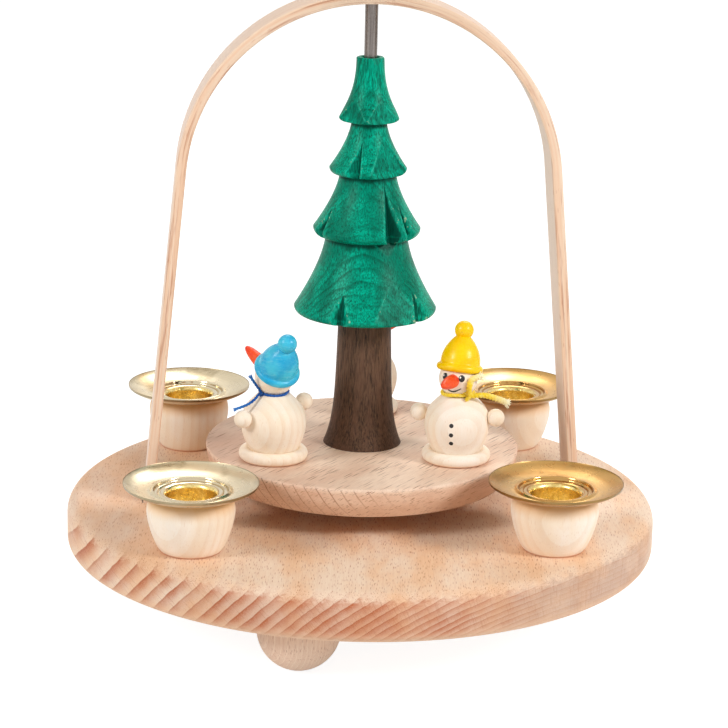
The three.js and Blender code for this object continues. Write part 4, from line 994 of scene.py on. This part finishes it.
def make_dots(spots, radius, tall=1.0):
    """Low round dots of paint, sunk a little into a surface, from their places and directions."""
    dome = [(radius * flat, (DOT_PROUD + DOT_SUNK) * up - DOT_SUNK)
            for flat, up in arc((0, 0), 1, 0, QUARTER_TURN, 6)[:-1]]
    verts, faces = lathe([(0, -DOT_SUNK)] + dome + [(0, DOT_PROUD)], 32)
    dots = []
    for centre, normal in spots:
        normal = normal.normalized()
        side = Vector((0, 0, 1)).cross(normal).normalized()
        up = normal.cross(side)
        dots.append(([centre + side * x + up * y * tall + normal * z for x, y, z in verts], faces))
    return together(*dots)


def make_smile():
    """A line that is thickest in its middle, with a short tick across either end."""
    shares = [math.sin(math.pi * step / SMILE_STEPS) for step in range(SMILE_STEPS + 1)]
    line = [on_head(mix(-EYE_TURN, EYE_TURN, step / SMILE_STEPS), SMILE_RISE - SMILE_SAG * share,
                    0.02) for step, share in enumerate(shares)]
    forms = [tube(line, [0.14 + 0.12 * share for share in shares], 8)]
    for turn in (-EYE_TURN, EYE_TURN):
        tick = [on_head(turn * 1.12, SMILE_RISE + 2.5, 0.02), on_head(turn, SMILE_RISE, 0.03),
                on_head(turn * 0.92, SMILE_RISE - 3.5, 0.02)]
        forms.append(tube(tick, [0.1, 0.17, 0.11], 8))
    return together(*forms)


def make_tail(start, route, thick, thickest):
    """One end of a scarf, its loose fibres, and how frayed each vertex is."""
    points = [start] + [start + Vector(share) * HEAD_RADIUS for share in route]
    smooth = [Vector(p) for p in curve(points, 12)]
    shares = [row / (len(smooth) - 1) for row in range(len(smooth))]
    forms = [tube(smooth, [mix(thick, thickest, share) for share in shares], CORD_SIDES, 3)]
    fray = [max(0, share * 2.6 - 1.6) * 0.8 for share in shares for _ in range(CORD_SIDES)]
    fray += [0.0, 0.8]
    tip, away = smooth[-1], (smooth[-1] - smooth[-3]).normalized()
    side = away.orthogonal().normalized()
    up = away.cross(side)
    for number in range(HAIRS):
        angle, spread = number * 2.4, 0.3 + 0.5 * (number % 4) / 4
        out = side * math.cos(angle) + up * math.sin(angle)
        out = out * thickest * (0.5 + 0.5 * (number % 5) / 4)
        hair = [tip - away * 0.3 + out * 0.55, tip + away * 0.5 + out * (0.7 + spread * 0.4),
                tip + away * (1.0 + 0.15 * (number % 3)) + out * (0.9 + spread)]
        forms.append(tube(hair, [thickest * 0.24, thickest * 0.18, thickest * 0.1], 6))
        fray += [1.0] * len(forms[-1][0])
    return forms, fray


def make_scarf(loop, string, tails):
    """A twisted string round the neck with its knot and tails, and its vertices' fraying."""
    thin, thick, thickest = string
    start = Vector((loop + 0.5, 0, 0))
    ring = [Vector((loop * math.cos(a), loop * math.sin(a), 0.25 * math.cos(a * 2 + 1)))
            for a in np.linspace(0.02, 2 * math.pi - 0.02, 90)]
    knot = [start + Vector((1.1 * math.cos(a), math.sin(2 * a), 1.2 * math.sin(a))) * thick
            for a in np.linspace(0, 2 * math.pi, 40)]
    forms = [tube(ring, thin, CORD_SIDES, 3), tube(knot, thick * 0.8, KNOT_SIDES, 3)]
    fray = [0.0] * sum(len(form[0]) for form in forms)
    for route in tails:
        tail, tail_fray = make_tail(start, route, thick, thickest)
        forms += tail
        fray += tail_fray
    return together(*forms), fray


body_side = [(BODY_RADIUS * r, BODY_HEIGHT * z) for r, z in curve(BODY_SIDE, 7)]
body_form = lathe([(0, BODY_HEIGHT * 0.05)] + body_side + [(0, BODY_HEIGHT)])
ring_round = arc((RING_CENTRE, RING_RISE), RING_TUBE, 0, FULL_TURN, 28)[:-1]
ring_form = lathe([(radius, max(height, 0)) for radius, height in ring_round], looped=True)
hand_form = lathe(arc((0, 0), HAND_RADIUS, -QUARTER_TURN, QUARTER_TURN, 24), COARSE)
head_side = arc((0, 0), HEAD_RADIUS, HEAD_LOW, HEAD_HIGH, 28)
head_form = lathe([(0, head_side[0][1])] + head_side + [(0, head_side[-1][1])])
hat_form, nose_form = make_hat(), make_nose()
eyes = [(on_head(turn, EYE_RISE),) * 2 for turn in (-EYE_TURN, EYE_TURN)]
glints = [(on_head(turn - GLINT_SHIFT, GLINT_RISE, 0.07),) * 2 for turn in (-EYE_TURN, EYE_TURN)]
radii, rises = zip(*body_side)
buttons = []
for rise in BUTTON_RISES:
    near, above = (float(np.interp(z, rises, radii)) for z in (rise, rise + 0.5))
    buttons.append((Vector((near, 0, rise)), Vector((0.5, 0, near - above))))


def dress(colour, turn, body, head, tilt, roll, knot, hands, string, loop, tails, hat, cord):
    """All pieces of one snowman."""
    stand = shifted(*on_circle(FIGURE_CIRCLE, turn, TURNTABLE_TOP)) @ turned(body, "Z")
    turns = [math.radians(a) for a in (-roll, -tilt, head)]
    neck = stand @ shifted(0, 0, HEAD_RISE) @ Euler(turns, "XYZ").to_matrix().to_4x4()
    hat, cord = make_gloss(f"hat_{colour}", *hat), make_string(f"scarf_{colour}", *cord)

    reach = BODY_RADIUS + GAP + HAND_RADIUS * 0.8 - HAND_SUNK
    left, right = (stand @ shifted(0, side * reach, BODY_HEIGHT * (HAND_RISE + rise))
                   for side, rise in zip((1, -1), hands))
    for part, form, place, finish in (
            ("ring", ring_form, stand, figure_maple), ("body", body_form, stand, figure_maple),
            ("head", head_form, neck, figure_maple), ("hat", hat_form, neck, hat),
            ("nose", nose_form, neck, carrot), ("hand_left", hand_form, left, figure_maple),
            ("hand_right", hand_form, right, figure_maple)):
        piece(f"{colour}_{part}_visual", moved(form, place), "carousel", finish,
              [f"snowman_{colour}_{part}"])
    for part, form, place, finish in (
            ("eyes", make_dots(eyes, EYE_RADIUS, 1.08), neck, black),
            ("glints", make_dots(glints, GLINT_RADIUS, 1.3), neck, white),
            ("smile", make_smile(), neck, black),
            ("buttons", make_dots(buttons, BUTTON_RADIUS), stand, black)):
        piece(f"{colour}_{part}", moved(form, place), "carousel", finish)
    form, fray = make_scarf(loop[0], string, tails)
    form = moved(form, stand @ shifted(0, 0, loop[1]) @ turned(knot, "Z"))
    scarf = piece(f"{colour}_scarf_visual", form, "carousel", cord, [f"snowman_{colour}_scarf"])
    store(scarf, "fray", fray)


for figure in FIGURES:
    dress(**figure)

# Rotor: a hub with a bore for the spindle and one for each blade's peg, and its finial
BLADES, PITCH = 8, 45
PEG_RADIUS, PEG_START, PEG_TIP = 1.8, 7, (0.62, 16)
BLADE_ROOT, BLADE_TIP, BLADE_CORNER, BLADE_EASING = 31.0, 96.0, 6.0, 0.3
HALF_ROOT, HALF_TIP, BLADE_THICKNESS = 10.5, 19.0, 1.2
HUB_EDGE = 2.4
FINIAL_PEG = [(0, -4), (2.5, -4), (2.5, 0)]
FINIAL_SIDE = [(5.1, 0), (5.1, 1.3), (3.3, 2.9), (4.9, 5.1), (4.8, 7.7), (2.7, 10.1), (0.02, 11)]
arms = [shifted(0, 0, HUB_MIDDLE) @ turned(FULL_TURN / BLADES * number, "Z")
        for number in range(BLADES)]
hub_form = lathe(disc(HUB_RADIUS, HUB_BOTTOM, HUB_TOP, HUB_EDGE, HUB_EDGE, 8))
hub = piece("hub_visual", hub_form, "rotor", rotor_wood, ["rotor_hub"])
cut(hub, rod(RUNNING_HOLE, HUB_BOTTOM - 1, HUB_BOTTOM + HUB_BORE_DEPTH))
for arm in arms:
    drill = rod(PEG_RADIUS + GAP / 2, PEG_START - GAP, HUB_RADIUS + 1, 32)
    cut(hub, moved(drill, arm @ turned(QUARTER_TURN, "Y")))
finial = lathe(FINIAL_PEG + curve(FINIAL_SIDE) + [(0, 11)], 64)
piece("finial_visual", moved(finial, shifted(0, 0, HUB_TOP)), "rotor", rotor_wood,
      ["rotor_finial"])


def make_blade():
    """A thin board with a rounded tip and eased edges, and its peg, lying flat along +X."""
    outline = [(BLADE_ROOT, -HALF_ROOT), (BLADE_TIP - BLADE_CORNER, -HALF_TIP)]
    for step in range(1, 9):
        t = step / 8
        outline.append((mix(BLADE_TIP - BLADE_CORNER, BLADE_TIP, 2 * t - t * t),
                        -HALF_TIP + BLADE_CORNER * t * t))
    outline += [(x, -y) for x, y in outline[::-1]]
    half, middle = BLADE_THICKNESS / 2, (BLADE_ROOT + BLADE_TIP) / 2
    verts = []
    for height, inset in ((-half, BLADE_EASING), (-half + BLADE_EASING, 0),
                          (half - BLADE_EASING, 0), (half, BLADE_EASING)):
        for x, y in outline:
            share = inset / math.hypot(x - middle, y)
            verts.append((x - (x - middle) * share, y - y * share, height))
    count = len(outline)
    faces = bands(4, count) + [list(range(count))[::-1], list(range(3 * count, 4 * count))]
    peg = lathe([(0, PEG_START), (PEG_RADIUS, PEG_START), (PEG_RADIUS, BLADE_ROOT),
                 (PEG_TIP[0], BLADE_ROOT + PEG_TIP[1]), (0, BLADE_ROOT + PEG_TIP[1])], 32)
    return together((verts, faces), moved(peg, turned(QUARTER_TURN, "Y")))


blade = make_blade()
for number, arm in enumerate(arms, 1):
    obj = piece(f"blade_visual_{number}", moved(blade, arm @ turned(PITCH, "X")),
                f"blade_{number}", blade_wood, [f"rotor_blade_{number}"], sharp=30)
    # Each blade comes from another part of the board
    store(obj, "grain", [(x + 140 * (number - 1), y, z) for x, y, z in blade[0]])

# Floor, world, lamps and camera
FLOOR_REACH = 6
FLOOR_PALE, FLOOR_DIM, FLOOR_GLOW = (0.9, 0.9, 0.9, 1), (0.34, 0.34, 0.34, 1), 0.9
SKY_SOFT, SKY_STRENGTH, SKY_SEEN = (1.0, 0.95, 0.89, 1), 0.31, (1, 1, 1, 1)
floor_mesh = bpy.data.meshes.new("floor")
floor_mesh.from_pydata([(x * FLOOR_REACH, y * FLOOR_REACH, 0)
                        for x, y in ((-1, -1), (1, -1), (1, 1), (-1, 1))], [], [(0, 1, 2, 3)])
floor = add_object("floor", floor_mesh)


def by_ray(tree, output, lit, seen):
    """One shader lights the object. The camera sees the other, also through gloss or glass."""
    path = add_node(tree, "LightPath", {}).outputs
    direct = made_by(tree, "Math", {0: path["Is Camera Ray"], 1: path["Is Glossy Ray"]},
                     operation="MAXIMUM").math("MAXIMUM", path["Is Transmission Ray"])
    chosen = made_by(tree, "MixShader", {0: direct, 1: lit, 2: seen})
    add_node(tree, output, {0: chosen})


sheet = bpy.data.materials.new("floor_pale")
tree = bare_nodes(sheet)
dim = made_by(tree, "BsdfDiffuse", {"Color": FLOOR_DIM})
glow = made_by(tree, "Emission", {"Strength": FLOOR_GLOW})
pale = made_by(tree, "BsdfDiffuse", {"Color": FLOOR_PALE})
both = made_by(tree, "AddShader", {0: dim, 1: glow})
by_ray(tree, "OutputMaterial", pale, both)
floor_mesh.materials.append(sheet)

world = bpy.data.worlds.new("studio")
bpy.context.scene.world = world
tree = bare_nodes(world)
soft = made_by(tree, "Background", {"Color": SKY_SOFT, "Strength": SKY_STRENGTH})
clear = made_by(tree, "Background", {"Color": SKY_SEEN, "Strength": 1.0})
by_ray(tree, "OutputWorld", soft, clear)


def lamp(name, spot, aim, size, power):
    data = bpy.data.lights.new(name, "AREA")
    data.shape = "DISK"
    data.size = size
    data.energy = power
    obj = add_object(name, data)
    obj.location = spot
    aim = Vector((0, 0, aim)) - Vector(spot)
    obj.rotation_euler = aim.to_track_quat("-Z", "Y").to_euler()


lamp("left", (-1.15, -0.65, 0.85), 0.08, 0.45, 10.3)
lamp("right", (1.05, -0.75, 0.85), 0.08, 0.4, 12.4)
lamp("rear", (0.2, 0.9, 1.1), 0.1, 0.8, 6.0)

camera_data = bpy.data.cameras.new("camera")
camera_data.lens = CAMERA_LENS
camera_data.sensor_width = CAMERA_SENSOR
camera_data.clip_start = CAMERA_NEAR
camera = add_object("camera", camera_data)
camera.matrix_world = (shifted(*(c * MM for c in CAMERA_SPOT)) @ turned(-CAMERA_TURN, "Z")
                       @ turned(QUARTER_TURN - CAMERA_DIP, "X") @ turned(CAMERA_ROLL, "Z"))
bpy.context.scene.camera = camera
bpy.context.scene.view_settings.view_transform = "Standard"
